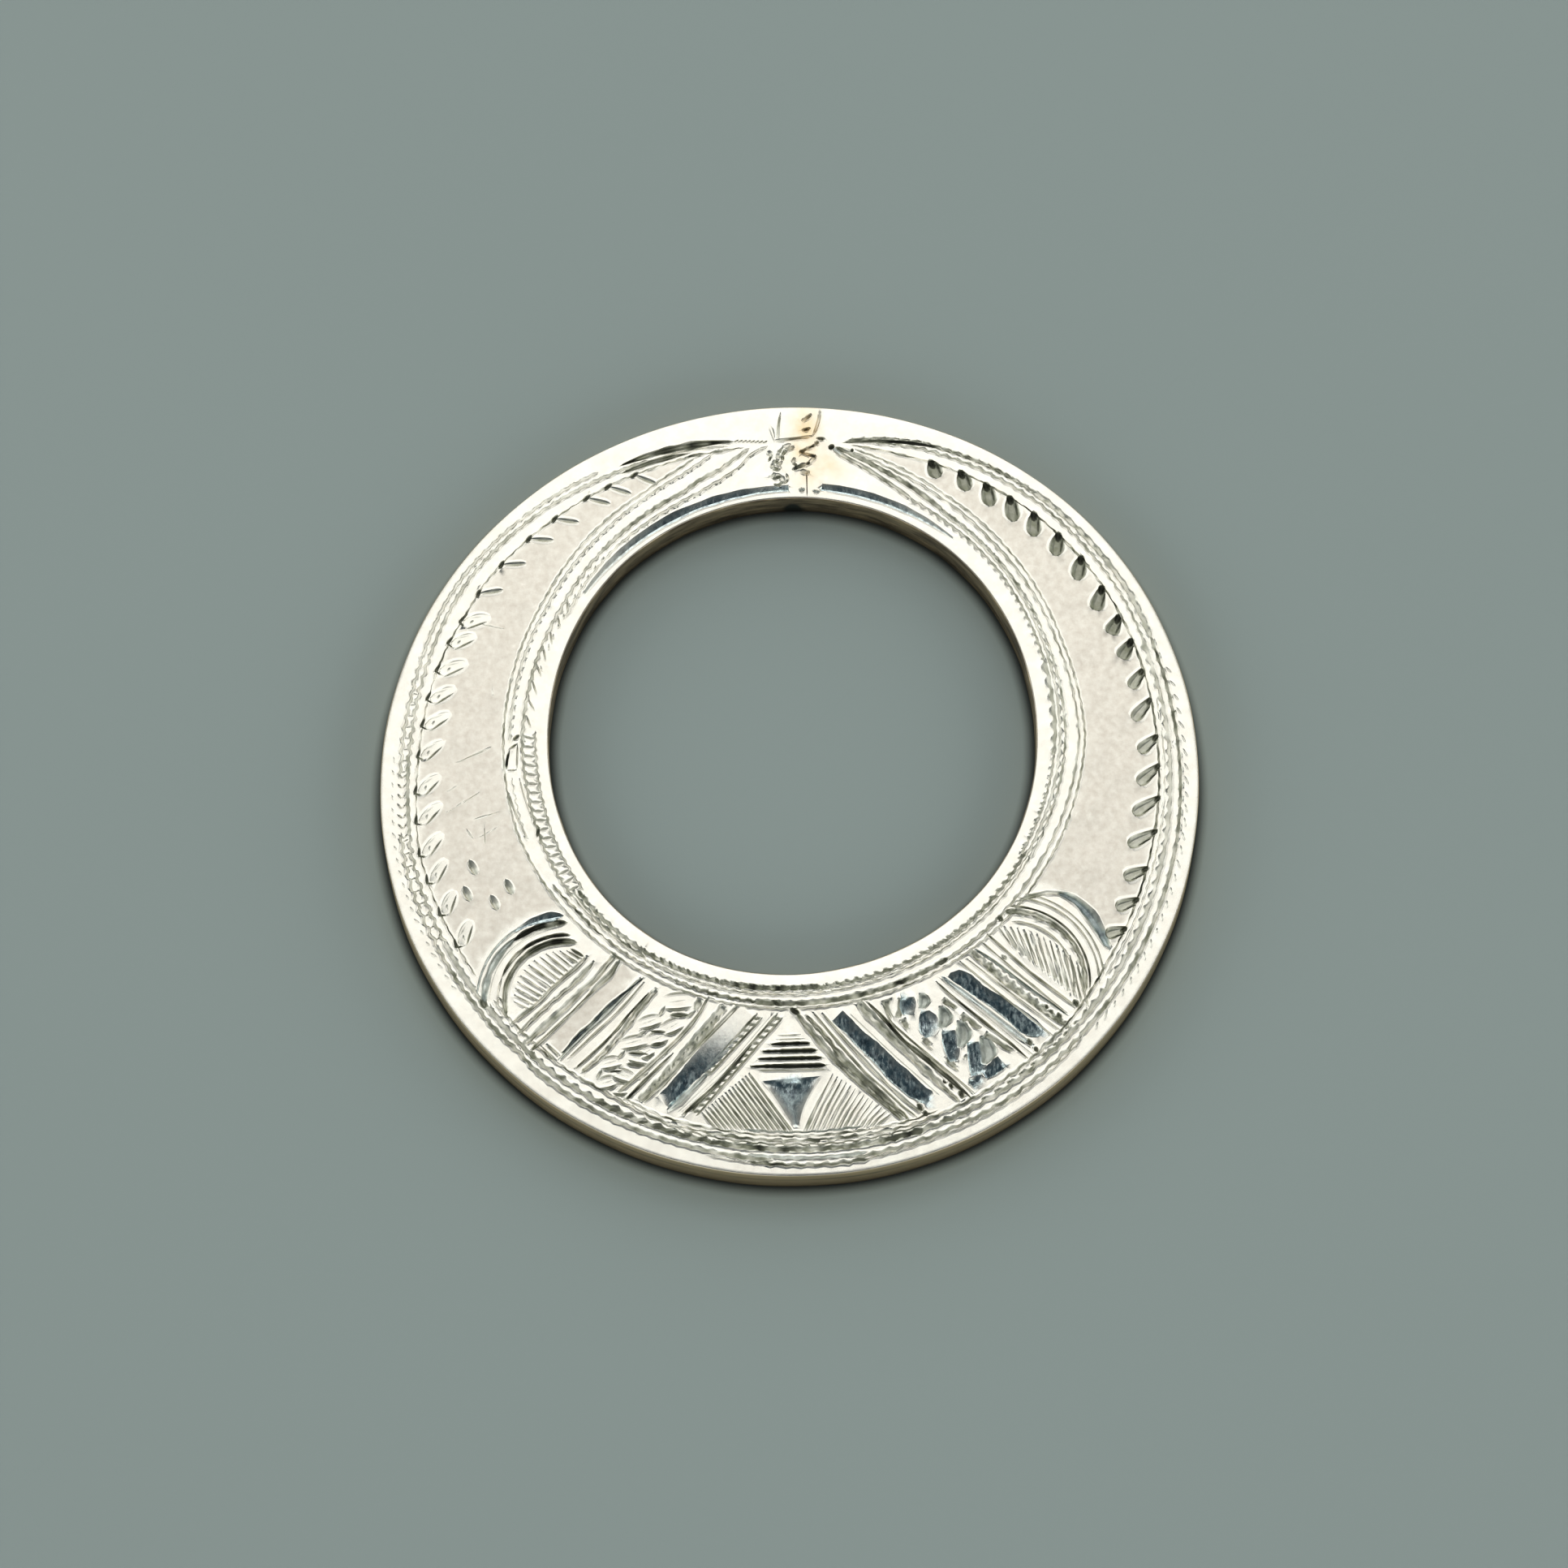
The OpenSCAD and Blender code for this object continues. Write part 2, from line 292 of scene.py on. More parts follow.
def drift(count):
    """Random changes along a path, about 0 and smoothed over neighbouring stations."""
    return np.convolve(rng.normal(size=count + 2), (0.4, 0.6, 0.4), "valid")


def hand_cut(chart, along, middle, width, depth, lean=0.0, wave=0.0, teeth=(0.0, 0.0), swing=0.0, lag=0,
             taper=0.3, shake=0.14, blunt=0.0, dull=0.7, **more):
    """A groove cut by hand. Over every four stations its floor line swings by wave, its middle by swing,
    and its two edges run out to saw teeth, one station apart, so that its facets slant. Its width, depth
    and tarnish vary a little by shake. Lean shifts the floor line by a share of half the width, and blunt
    is the share of the width at its ends."""
    count = len(along)
    ends = tapered(along, taper)
    wide = np.maximum(ends, blunt)
    half = width / 2 * np.clip(1 + shake * drift(count), 0.4, 1.6) * wide
    left = half + repeat(SAW, count, lag, teeth[0]) * ends
    right = half + repeat(SAW, count, lag + 1, teeth[1]) * ends
    floor = np.clip(lean * half + repeat(SWING, count, lag + 1, wave) * ends, -0.85 * right, 0.85 * left)
    depth = depth * np.clip(1 + shake * drift(count), 0.4, 1.6) * ends
    dull = dull * np.clip(1 + 2 * shake * drift(count), 0.3, 1.7)
    middle = middle + repeat(SWING, count, lag, swing) * ends
    carve(chart, along, middle, left, right, floor, depth, dull=dull, **more)


def between(x1, y1, x2, y2):
    """A straight chart from one point to another, and its length."""
    return (x1, y1, math.degrees(math.atan2(y2 - y1, x2 - x1)), False), math.hypot(x2 - x1, y2 - y1)


def groove(x1, y1, x2, y2, width, depth, bow=0.0, step=0.3, taper=0.2, **more):
    """A hand-cut groove between two points, bowed to the left by the given amount at its middle."""
    chart, length = between(x1, y1, x2, y2)
    along = np.linspace(0, length, max(4, round(length / step) + 1))
    middle = 4 * bow * along * (length - along) / length**2
    hand_cut(chart, along, middle, width, depth, taper=taper, blunt=0.5, **more)


def arc(x, y, radius, start, sweep, width, depth, step=0.3, taper=8.0, **more):
    """A hand-cut groove along an arc; taper is in degrees."""
    along = np.linspace(0, sweep, max(5, round(math.radians(sweep) * radius / step) + 1))
    hand_cut((x, y, start, True), along, radius, width, depth, taper=taper, **more)


def stroke(x, y, length, heading, width, depth, lean=0.0, belly=0.5, bow=0.0, **more):
    """A leaf-shaped cut about a point, pointed at both ends and widest at the belly, a share of the way
    along it."""
    share = np.linspace(0, 1, 9 if length > 0.8 else 7)
    fullness = np.where(share < belly, share / belly, (1 - share) / (1 - belly))
    half = width / 2 * np.sqrt(np.clip(fullness * (2 - fullness), 0, 1))
    turn = math.radians(heading)
    chart = (x - length / 2 * math.cos(turn), y - length / 2 * math.sin(turn), heading, False)
    middle = 4 * bow * share * (1 - share)
    carve(chart, share * length, middle, half, half, lean * half, depth * fullness**0.7, **more)


# Border lines.
# Rows of wriggled and plain grooves, cut free-hand, follow both edges and run together beside the seam.
# Each line gives its edge, and pairs of an angle counter-clockwise from beside the seam and the distance
# from that edge there.
OUTER_ROPE = ("outline", np.array([
    (120, 0.95), (130, 0.75), (140, 0.58), (145, 0.5), (150, 0.52), (155, 0.62), (160, 0.78), (165, 0.88),
    (170, 0.95), (175, 1.0), (180, 1.0), (185, 0.97), (190, 0.9), (195, 0.93), (200, 0.98), (205, 1.07),
    (210, 1.1), (215, 1.14), (222, 1.1), (226, 1.15), (229, 0.98), (235, 0.93), (245, 0.93), (255, 0.95),
    (262, 0.9), (270, 0.82), (280, 0.75), (290, 0.85), (300, 0.85), (310, 0.9), (320, 1.0), (330, 0.95),
    (350, 0.92), (370, 0.97), (380, 0.9), (390, 0.7), (410, 0.65), (420, 0.75), (430, 1.0), (435, 1.3),
    (441, 1.8)]))
MIDDLE_ROPE = ("outline", np.array([
    (112, 1.55), (120, 1.35), (130, 1.1), (140, 0.92), (145, 0.87), (150, 0.93), (155, 1.03), (160, 1.15),
    (165, 1.25), (170, 1.38), (175, 1.42), (180, 1.45), (185, 1.45), (190, 1.35), (195, 1.4), (200, 1.48),
    (205, 1.55), (212, 1.55), (220, 1.6), (230, 1.45), (250, 1.45), (270, 1.47), (290, 1.35), (300, 1.38),
    (310, 1.45), (320, 1.5), (350, 1.5), (360, 1.5), (380, 1.35), (390, 1.15), (410, 1.0), (420, 1.1),
    (430, 1.3), (437, 1.65)]))
TOOTH_LINE = ("outline", np.array([
    (97, 2.15), (105, 2.1), (120, 1.95), (130, 1.88), (145, 1.72), (150, 1.85), (156, 1.8), (165, 1.83),
    (170, 1.9), (175, 1.95), (180, 1.92), (185, 1.88), (190, 1.78), (195, 1.87), (200, 1.95), (205, 2.05),
    (212, 2.1), (222, 2.08), (230, 2.02), (240, 2.1), (250, 1.85), (260, 1.95), (280, 1.95), (290, 1.8),
    (310, 1.9), (320, 2.0), (330, 2.25), (350, 2.2), (370, 2.05), (380, 1.88), (390, 1.75), (410, 1.65),
    (420, 1.75), (430, 1.95), (440, 2.0)]))
OPENING_ROPE = ("opening", np.array([
    (94.5, 3.05), (97.7, 2.75), (101, 2.0), (105, 1.57), (110, 1.25), (118, 1.05), (128, 0.95),
    (150, 0.68), (182, 0.85), (190, 0.8), (210, 0.82), (240, 0.75), (270, 0.65), (300, 0.58), (330, 0.6),
    (350, 0.85), (360, 0.95), (380, 1.0), (400, 1.1), (415, 1.15), (424, 1.3), (431, 1.8), (439, 2.5),
    (442.5, 2.95)]))
OPENING_SECOND = ("opening", np.array([
    (98, 3.05), (100.6, 2.68), (104.6, 2.15), (109, 1.92), (113, 1.6), (122, 1.45), (130, 1.35),
    (150, 1.15), (180, 1.35), (215, 1.3), (240, 1.15), (300, 1.05), (330, 1.1), (350, 1.4), (360, 1.52),
    (380, 1.48), (405, 1.5), (417, 1.58), (423, 1.85), (432, 2.3), (438, 2.75), (442, 3.05)]))
OPENING_THIRD = ("opening", np.array([
    (103.5, 3.37), (107.5, 2.9), (112, 2.55), (120, 2.3), (130, 2.1), (150, 1.9), (180, 2.05),
    (182, 2.05)]))
OPENING_THIRD_BELOW = ("opening", np.array([
    (213, 1.85), (220, 1.6), (240, 1.45), (270, 1.58), (300, 1.63), (330, 1.72), (345, 2.0), (360, 2.28),
    (380, 2.0), (405, 1.95), (420, 2.2), (430, 2.5), (438, 2.9), (441, 3.08)]))
FIELD_LINE = ("opening", np.array([
    (108.6, 3.2), (112, 2.95), (120, 2.58), (128, 2.5), (150, 2.2), (180, 2.4), (200, 2.42), (210, 2.25),
    (225, 2.0), (240, 1.85), (270, 1.87), (300, 1.95), (330, 2.1), (345, 2.35), (360, 2.6), (380, 2.28),
    (405, 2.3), (420, 2.45), (430, 2.78), (438, 3.08)]))


def on_line(line, degrees, shift):
    """Centre and radius of a border line at an angle, moved away from its edge by a shift."""
    edge, table = line
    distance = np.interp(degrees, table[:, 0], table[:, 1]) + shift
    if edge == "outline":
        return OUTLINE_CENTRE, outline_radius(degrees) - distance
    return OPENING_CENTRE, opening_radius(degrees) + distance


def border(line, start, stop, width, depth, pitch, shift=0.0, **more):
    """A groove along a border line, with four stations to each pitch of degrees."""
    along = np.linspace(0, stop - start, 4 * round((stop - start) / pitch) + 1)
    along[1:-1] += 0.05 * pitch * rng.normal(size=len(along) - 2)
    centre, middle = on_line(line, along + start, shift)
    hand_cut((*centre, start, True), along, middle, width, depth, taper=1.0, **more)


# Each line is cut in stretches, given as start, stop, width, depth, pitch and the habits of that stretch.
BORDER_CUTS = [
    (OUTER_ROPE, [
        (120, 160, 0.17, 0.05, 1.7, dict(swing=0.02, teeth=(0.03, 0.03), flat=2.0, dull=0.4)),
        (159, 179, 0.17, 0.05, 1.75, dict(swing=0.06, flat=2.0, dull=0.45)),
        (187, 206, 0.17, 0.05, 2.0, dict(swing=0.07, flat=2.0, dull=0.55)),
        (205, 229.5, 0.2, 0.05, 1.8, dict(swing=0.03, teeth=(0.03, 0.03), flat=2.0, dull=1.0)),
        (227.5, 268, 0.24, 0.05, 1.9, dict(swing=0.02, teeth=(0.02, 0.03), flat=2.0, dull=1.0)),
        (264, 282, 0.2, 0.07, 2.4, dict(shift=-0.22, swing=0.03, teeth=(0.02, 0.05), dull=1.15)),
        (264, 282, 0.2, 0.05, 2.0, dict(shift=0.18, swing=0.02, flat=2.0, dull=0.8, blue=0.3)),
        (258, 267, 0.09, 0.03, 2.4, dict(shift=-0.25, swing=0.02, dull=0.5)),
        (280, 318, 0.1, 0.04, 2.4, dict(shift=-0.2, swing=0.03, dull=0.5)),
        (279.5, 319, 0.2, 0.06, 2.4, dict(swing=0.04, teeth=(0.03, 0.05), flat=1.7, dull=0.9)),
        (318, 352, 0.22, 0.06, 2.1, dict(teeth=(0.02, 0.07), flat=1.7, dull=0.95)),
        (351, 384, 0.13, 0.06, 2.2, dict(teeth=(0.12, 0.12), lag=1, flat=1.7, dull=1.0)),
        (383, 412, 0.3, 0.06, 2.0, dict(wave=0.06, teeth=(0.06, 0.08), flat=2.0, dull=0.55)),
        (411, 441, 0.22, 0.09, 1.6, dict(wave=0.06, teeth=(0.06, 0.02), lag=1, dull=0.95))]),
    (MIDDLE_ROPE, [
        (112, 160, 0.18, 0.05, 1.7, dict(swing=0.02, teeth=(0.03, 0.03), flat=2.0, dull=0.6)),
        (159, 179, 0.18, 0.05, 1.75, dict(swing=0.07, lag=2, flat=2.0, dull=0.6)),
        (176, 188, 0.2, 0.05, 1.6, dict(swing=0.02, teeth=(0.06, 0.02), flat=2.0, dull=0.9)),
        (187, 206, 0.18, 0.05, 2.0, dict(swing=0.07, lag=2, flat=2.0, dull=0.7)),
        (205, 215, 0.26, 0.05, 1.8, dict(teeth=(0.05, 0.08), flat=2.0, dull=0.7)),
        (214, 229, 0.24, 0.05, 1.9, dict(swing=0.02, teeth=(0.05, 0.1), flat=2.0, dull=0.8)),
        (226.5, 242, 0.2, 0.05, 2.2, dict(swing=0.03, teeth=(0.04, 0.16), flat=2.0, dull=1.0)),
        (240, 259, 0.26, 0.06, 2.3, dict(swing=0.02, teeth=(0.02, 0.14), flat=1.8, dull=1.1)),
        (258, 291, 0.34, 0.08, 1.8, dict(wave=0.06, teeth=(0.03, 0.06), flat=1.6, dull=1.25)),
        (250, 292, 0.1, 0.04, 2.6, dict(shift=0.27, swing=0.04, dull=1.2)),
        (289, 320, 0.22, 0.06, 2.3, dict(swing=0.03, teeth=(0.04, 0.12), flat=1.8, dull=0.9)),
        (319, 384, 0.22, 0.05, 2.1, dict(swing=0.02, teeth=(0.0, 0.16), flat=2.0, dull=0.6)),
        (383, 437, 0.14, 0.05, 1.8, dict(swing=0.03, teeth=(0.03, 0.03), dull=0.8))]),
    (TOOTH_LINE, [
        (97, 150, 0.11, 0.05, 1.9, dict(swing=0.02, shake=0.3, dull=0.7)),
        (149, 212.5, 0.1, 0.05, 1.9, dict(swing=0.02, shake=0.35, dull=0.8)),
        (217, 236, 0.13, 0.05, 1.9, dict(swing=0.03, shake=0.3, dull=0.9)),
        (235, 318, 0.16, 0.06, 2.4, dict(swing=0.03, teeth=(0.03, 0.04), shake=0.3, dull=0.9)),
        (317, 440, 0.12, 0.07, 1.9, dict(swing=0.015, shake=0.25, dull=1.0)),
        (243, 294, 0.13, 0.05, 2.6, dict(shift=0.25, swing=0.03, shake=0.35, dull=0.9)),
        (263, 282, 0.14, 0.06, 2.6, dict(shift=0.48, swing=0.03, dull=1.2, blue=0.3)),
        (328, 374, 0.12, 0.03, 1.9, dict(shift=-0.3, swing=0.02, shake=0.3, dull=0.3))]),
    (OPENING_ROPE, [
        (94.5, 131, 0.14, 0.05, 2.7, dict(swing=0.02, teeth=(0, 0.12), flat=1.8, dull=0.55)),
        (130, 152, 0.14, 0.04, 2.2, dict(swing=0.03, flat=2.0, dull=0.35)),
        (217, 255, 0.2, 0.06, 2.4, dict(shift=0.06, swing=0.02, teeth=(0.02, 0.08), flat=1.8, dull=0.95)),
        (216, 238, 0.1, 0.05, 2.7, dict(shift=0.32, teeth=(0.0, 0.14), dull=0.9)),
        (254, 276, 0.3, 0.09, 2.3, dict(shift=0.06, wave=0.06, teeth=(0.05, 0.03), dull=1.4)),
        (274, 333, 0.14, 0.06, 2.4, dict(shift=0.16, swing=0.02, teeth=(0.02, 0.1), flat=1.8, dull=0.95)),
        (240, 332, 0.08, 0.03, 2.3, dict(shift=0.34, swing=0.02, shake=0.3, dull=0.6)),
        (331, 356, 0.12, 0.05, 2.0, dict(swing=0.02, teeth=(0.02, 0.12), dull=0.75)),
        (355, 378, 0.2, 0.05, 3.1, dict(swing=0.02, teeth=(0.03, 0.2), flat=1.7, dull=0.75)),
        (377, 425, 0.13, 0.05, 2.1, dict(swing=0.02, teeth=(0.0, 0.15), dull=0.8)),
        (331, 418, 0.16, 0.04, 2.5,
         dict(shift=0.27, swing=0.02, teeth=(0.13, 0.0), lag=2, flat=1.7, dull=0.55)),
        (424, 442.5, 0.22, 0.06, 2.2, dict(wave=0.03, teeth=(0, 0.06), flat=1.8, dull=0.8))]),
    (OPENING_SECOND, [
        (98, 135, 0.22, 0.06, 2.0, dict(swing=0.015, teeth=(0.02, 0.03), flat=2.0, dull=0.9)),
        (134, 183, 0.17, 0.05, 2.3, dict(swing=0.03, teeth=(0.02, 0.06), flat=2.0, dull=0.7)),
        (216, 332, 0.1, 0.04, 2.3, dict(swing=0.02, shake=0.3, dull=0.7)),
        (331, 418, 0.14, 0.05, 2.5, dict(swing=0.02, teeth=(0.03, 0.03), shake=0.25, dull=0.8)),
        (417, 442, 0.26, 0.07, 2.0, dict(wave=0.03, teeth=(0.03, 0.03), flat=2.0, dull=1.0))]),
    (OPENING_THIRD, [
        (103.5, 182, 0.13, 0.04, 2.1, dict(swing=0.02, teeth=(0, 0.1), flat=1.8, dull=0.45)),
        (189, 203, 0.09, 0.03, 2.0, dict(swing=0.05, dull=0.5))]),
    (OPENING_THIRD_BELOW, [
        (213, 246, 0.16, 0.06, 2.0, dict(swing=0.03, shake=0.25, dull=1.0)),
        (245, 263, 0.2, 0.08, 2.4, dict(swing=0.04, teeth=(0.03, 0.03), dull=1.3)),
        (262, 304, 0.32, 0.08, 2.4, dict(wave=0.05, teeth=(0.03, 0.03), flat=1.7, dull=1.3)),
        (303, 317, 0.22, 0.06, 2.4, dict(swing=0.03, flat=1.8, dull=0.9)),
        (316, 441, 0.14, 0.05, 3.2, dict(swing=0.02, teeth=(0, 0.05), shake=0.25, dull=0.7))]),
    (FIELD_LINE, [
        (108.6, 438, 0.13, 0.05, 2.2, dict(swing=0.02, shake=0.2, dull=0.75))])]

for line, stretches in BORDER_CUTS:
    for start, stop, width, depth, pitch, more in stretches:
        border(line, start, stop, width, depth, pitch, **more)


def ticks(line, angles, shift, length, turn, width, depth, **more):
    """A row of short strokes along a border line, turned by so many degrees from the radius there."""
    for degrees in angles:
        centre, radius = on_line(line, degrees, shift)
        angle = math.radians(degrees)
        spot = centre[0] + radius * math.cos(angle), centre[1] + radius * math.sin(angle)
        long = length * (1 + 0.1 * rng.normal())
        stroke(*spot, long, degrees + turn + 5 * rng.normal(), width, depth, **more)


# Loose ticks fill the gaps between the lines: slanting ones by the outline, and wedges by the opening.
# Each row is a line, first and last angle, step, shift, length, turn, width and depth.
TICKS = [
    (OUTER_ROPE, 321, 379, 2.1, -0.34, 0.55, 112, 0.13, 0.03, dict(dull=0.45, lip=0.4)),
    (OUTER_ROPE, 176, 214, 1.9, -0.38, 0.4, 112, 0.1, 0.03, dict(dull=0.3, lip=0.4)),
    (OUTER_ROPE, 146, 166, 1.6, 0.02, 0.5, 112, 0.12, 0.04, dict(dull=0.4, lip=0.4)),
    (OUTER_ROPE, 178.4, 188, 1.55, 0.0, 0.42, 130, 0.13, 0.06, dict(dull=0.7, lip=0.5)),
    (OUTER_ROPE, 178.4, 188, 1.55, 0.26, 0.34, 50, 0.1, 0.05, dict(dull=0.6, lip=0.5)),
    (OUTER_ROPE, 165.5, 178, 1.75, 0.2, 0.3, 10, 0.09, 0.04, dict(dull=0.5, lip=0.4)),
    (OUTER_ROPE, 188.4, 206, 2.0, 0.24, 0.34, 10, 0.1, 0.05, dict(dull=0.7, lip=0.4)),
    (MIDDLE_ROPE, 240.5, 259, 2.3, -0.02, 0.75, 112, 0.24, 0.12, dict(belly=0.7, dull=1.45)),
    (MIDDLE_ROPE, 284, 300, 2.0, 0.02, 0.5, 70, 0.22, 0.07, dict(belly=0.6, dull=1.2)),
    (MIDDLE_ROPE, 301, 324, 2.3, 0.18, 0.36, 92, 0.16, 0.07, dict(dull=1.1)),
    (OUTER_ROPE, 397, 414, 2.0, -0.02, 0.62, 112, 0.2, 0.08, dict(belly=0.6, dull=0.9)),
    (OUTER_ROPE, 412, 438, 1.7, 0.0, 0.6, 105, 0.19, 0.08, dict(belly=0.6, dull=1.05)),
    (OPENING_ROPE, 149, 180, 4.0, 0.22, 1.0, 122, 0.13, 0.06, dict(dull=0.8, lip=0.6)),
    (OPENING_ROPE, 136, 166, 2.6, 0.1, 0.42, 112, 0.12, 0.04, dict(dull=0.5, lip=0.5)),
    (OPENING_ROPE, 219.5, 237, 2.1, 0.08, 0.55, 55, 0.18, 0.07, dict(belly=0.4, dull=0.95, lip=0.6)),
    (OPENING_ROPE, 237, 276, 2.1, 0.05, 0.52, 55, 0.2, 0.1, dict(belly=0.4, dull=1.25)),
    (OPENING_ROPE, 276, 332, 2.2, 0.13, 0.62, 58, 0.22, 0.08, dict(belly=0.4, dull=1.15, lip=0.6)),
    (OPENING_ROPE, 333, 346, 1.25, -0.04, 0.34, 40, 0.14, 0.06, dict(dull=0.9, lip=0.6))]
for line, first, last, step, *sizes, more in TICKS:
    ticks(line, np.arange(first, last, step), *sizes, **more)

# Beads of the opening's border on the left: short cross cuts between two lines leave round grains.
BEAD_PITCH = 2.1
border(OPENING_ROPE, 179, 218, 0.13, 0.05, BEAD_PITCH, shift=-0.2, swing=0.04, teeth=(0.1, 0), dull=0.7)
border(OPENING_ROPE, 179, 218, 0.14, 0.06, BEAD_PITCH, shift=0.52, swing=0.04, teeth=(0, 0.1), lag=2,
       dull=0.8)
ticks(OPENING_ROPE, np.arange(180.6, 218, BEAD_PITCH), 0.16, 0.78, -10, 0.17, 0.07, dull=0.8, lip=0.5)

# Slips of the graver beside the opening, on the left.
groove(-15.55, -0.9, -15.72, -2.0, 0.16, 0.14, bow=-0.05, dull=1.5)
groove(-15.6, -0.85, -15.12, -0.5, 0.12, 0.08, dull=1.0)
groove(-15.65, -2.05, -15.15, -2.02, 0.11, 0.07, dull=0.9)
groove(-15.12, -0.5, -15.15, -2.0, 0.1, 0.06)
stroke(-15.2, -0.15, 0.5, 40, 0.22, 0.12, dull=1.3)
groove(-15.6, -3.3, -14.5, -6.0, 0.12, 0.05, bow=-0.08)
groove(-15.0, -2.5, -14.2, -5.0, 0.1, 0.04, bow=-0.06)
stroke(-13.95, -5.6, 0.6, 80, 0.2, 0.14, dull=1.5)

# Tooth cuts.
# A row of teeth stands on the inner line of the outer border. Each was cut from that line inwards, leaning
# clockwise, and starts in a stabbed pit. On the right they are deep and round, on the left shallow leaves,
# and on the left beside the seam only strokes.
# Right teeth are given by the angle and distance from the outline of their start and of their end.
RIGHT_TEETH = [
    (67.5, 1.95, 65.6, 2.75), (62.6, 1.85, 60.4, 2.75), (58.2, 1.85, 55.8, 2.88), (54, 1.8, 51.3, 2.88),
    (49.5, 1.75, 47.3, 2.88), (44.5, 1.75, 42.6, 2.85), (39.5, 1.75, 37.3, 2.88), (33.8, 1.9, 31.5, 3.02),
    (28.5, 2.0, 26.9, 2.98), (24.2, 2.0, 22.5, 3.02), (19.3, 2.05, 17.3, 3.08), (14.5, 2.1, 12, 3.38),
    (8.5, 2.15, 6.5, 3.33), (3.8, 2.2, 1.1, 3.48), (-1.4, 2.2, -4.1, 3.66), (-6.8, 2.2, -9.6, 3.68),
    (-13, 2.3, -15.2, 3.47), (-18.2, 2.3, -20.5, 3.33), (-23.3, 2.3, -25.3, 3.22)]
RIGHT_SINKING = (1.2, 0.9, 0.9, 0.9, 0.8)
POINTED_ABOVE = 36
POINTED = (0.3, 0.75, 1.0, 0.95, 0.55)
ROUND_ENDED = (0.3, 0.6, 0.85, 1.0, 0.95)
LEFT_STROKES = [115.2, 119.8, 123.7, 129.8, 135, 141, 146.9]
LEFT_TEETH = [152.3, 156.2, 161, 165.8, 170.2, 175.2, 181, 185.8, 191, 195.5, 201, 206.7]
LEFT_FULLNESS = (0.4, 0.85, 1.0, 0.8, 0.3)
LEFT_SINKING = (1.2, 1.0, 0.9, 0.5, 0.1)

# Width and tarnish of a right tooth, then the length, width and tarnish of its pit.
UPPER_ABOVE = 20
UPPER_TOOTH = (0.9, 1.1, 0.66, 0.42, 1.8)
LOWER_TOOTH = (0.76, 0.85, 0.5, 0.3, 1.4)


def from_outline(degrees, distance):
    """Point at an angle about the outline's centre and a distance in from the outline."""
    radius = outline_radius(degrees) - distance
    angle = math.radians(degrees)
    return OUTLINE_CENTRE[0] + radius * math.cos(angle), OUTLINE_CENTRE[1] + radius * math.sin(angle)


def tooth(start, end, width, depth, lean, fullness, sinking, **more):
    """A cut from a point to a round end: fullness is its width and sinking its depth at equal shares of
    its length, with the last stretch closed round."""
    chart, length = between(*start, *end)
    share = np.array([0, 0.04, 0.12, 0.25, 0.4, 0.55, 0.7, 0.82, 0.91, 0.97, 1.0])
    closing = np.array([0, 1, 1, 1, 1, 1, 1, 0.95, 0.78, 0.5, 0])
    half = width / 2 * np.interp(share, np.linspace(0, 1, len(fullness)), fullness) * closing
    depths = depth * np.interp(share, np.linspace(0, 1, len(sinking)), sinking) * np.where(closing > 0, 1, 0)
    carve(chart, share * length, 0, half, half, lean * half, depths, **more)


def tooth_line_at(degrees):
    """Distance of the tooth line from the outline."""
    return np.interp(degrees if degrees > 90 else degrees + 360, *TOOTH_LINE[1].T)


def heading_of(start, end):
    """Direction from one point to another, in degrees."""
    return math.degrees(math.atan2(end[1] - start[1], end[0] - start[0]))


def middle_of(start, end):
    """Point halfway between two points."""
    return (start[0] + end[0]) / 2, (start[1] + end[1]) / 2


for degrees, distance, end_degrees, end_distance in RIGHT_TEETH:
    start = from_outline(degrees - 0.25, distance - 0.15)
    end = from_outline(end_degrees - 0.7, end_distance - 0.17)
    heading, (x, y) = heading_of(start, end), middle_of(start, end)
    across, ahead = math.sin(math.radians(heading)), math.cos(math.radians(heading))
    fullness = POINTED if degrees > POINTED_ABOVE else ROUND_ENDED
    width, dull, pit_length, pit_width, pit_dull = UPPER_TOOTH if degrees > UPPER_ABOVE else LOWER_TOOTH
    tooth(start, end, width, 0.19, -0.1, fullness, RIGHT_SINKING, bowl=1.7, halo=0.2, dull=dull)
    stroke(start[0] + 0.2 * ahead, start[1] + 0.2 * across, pit_length, heading + 8, pit_width, 0.26,
           lean=-0.2, dull=pit_dull)
    stroke(x - 0.24 * across, y + 0.24 * ahead, 0.9, heading, 0.14, 0.17, dull=1.6, lip=0.0)
for degrees in LEFT_STROKES:
    line = tooth_line_at(degrees)
    start, end = from_outline(degrees, line + 0.05), from_outline(degrees - 2.7, line + 1.0)
    stroke(*middle_of(start, end), 1.35, heading_of(start, end), 0.26, 0.07, lean=-0.3, belly=0.6, halo=0.16,
           dull=0.9)
    stroke(*from_outline(degrees + 0.1, line), 0.62, degrees - 80, 0.26, 0.16, belly=0.4, dull=1.5)

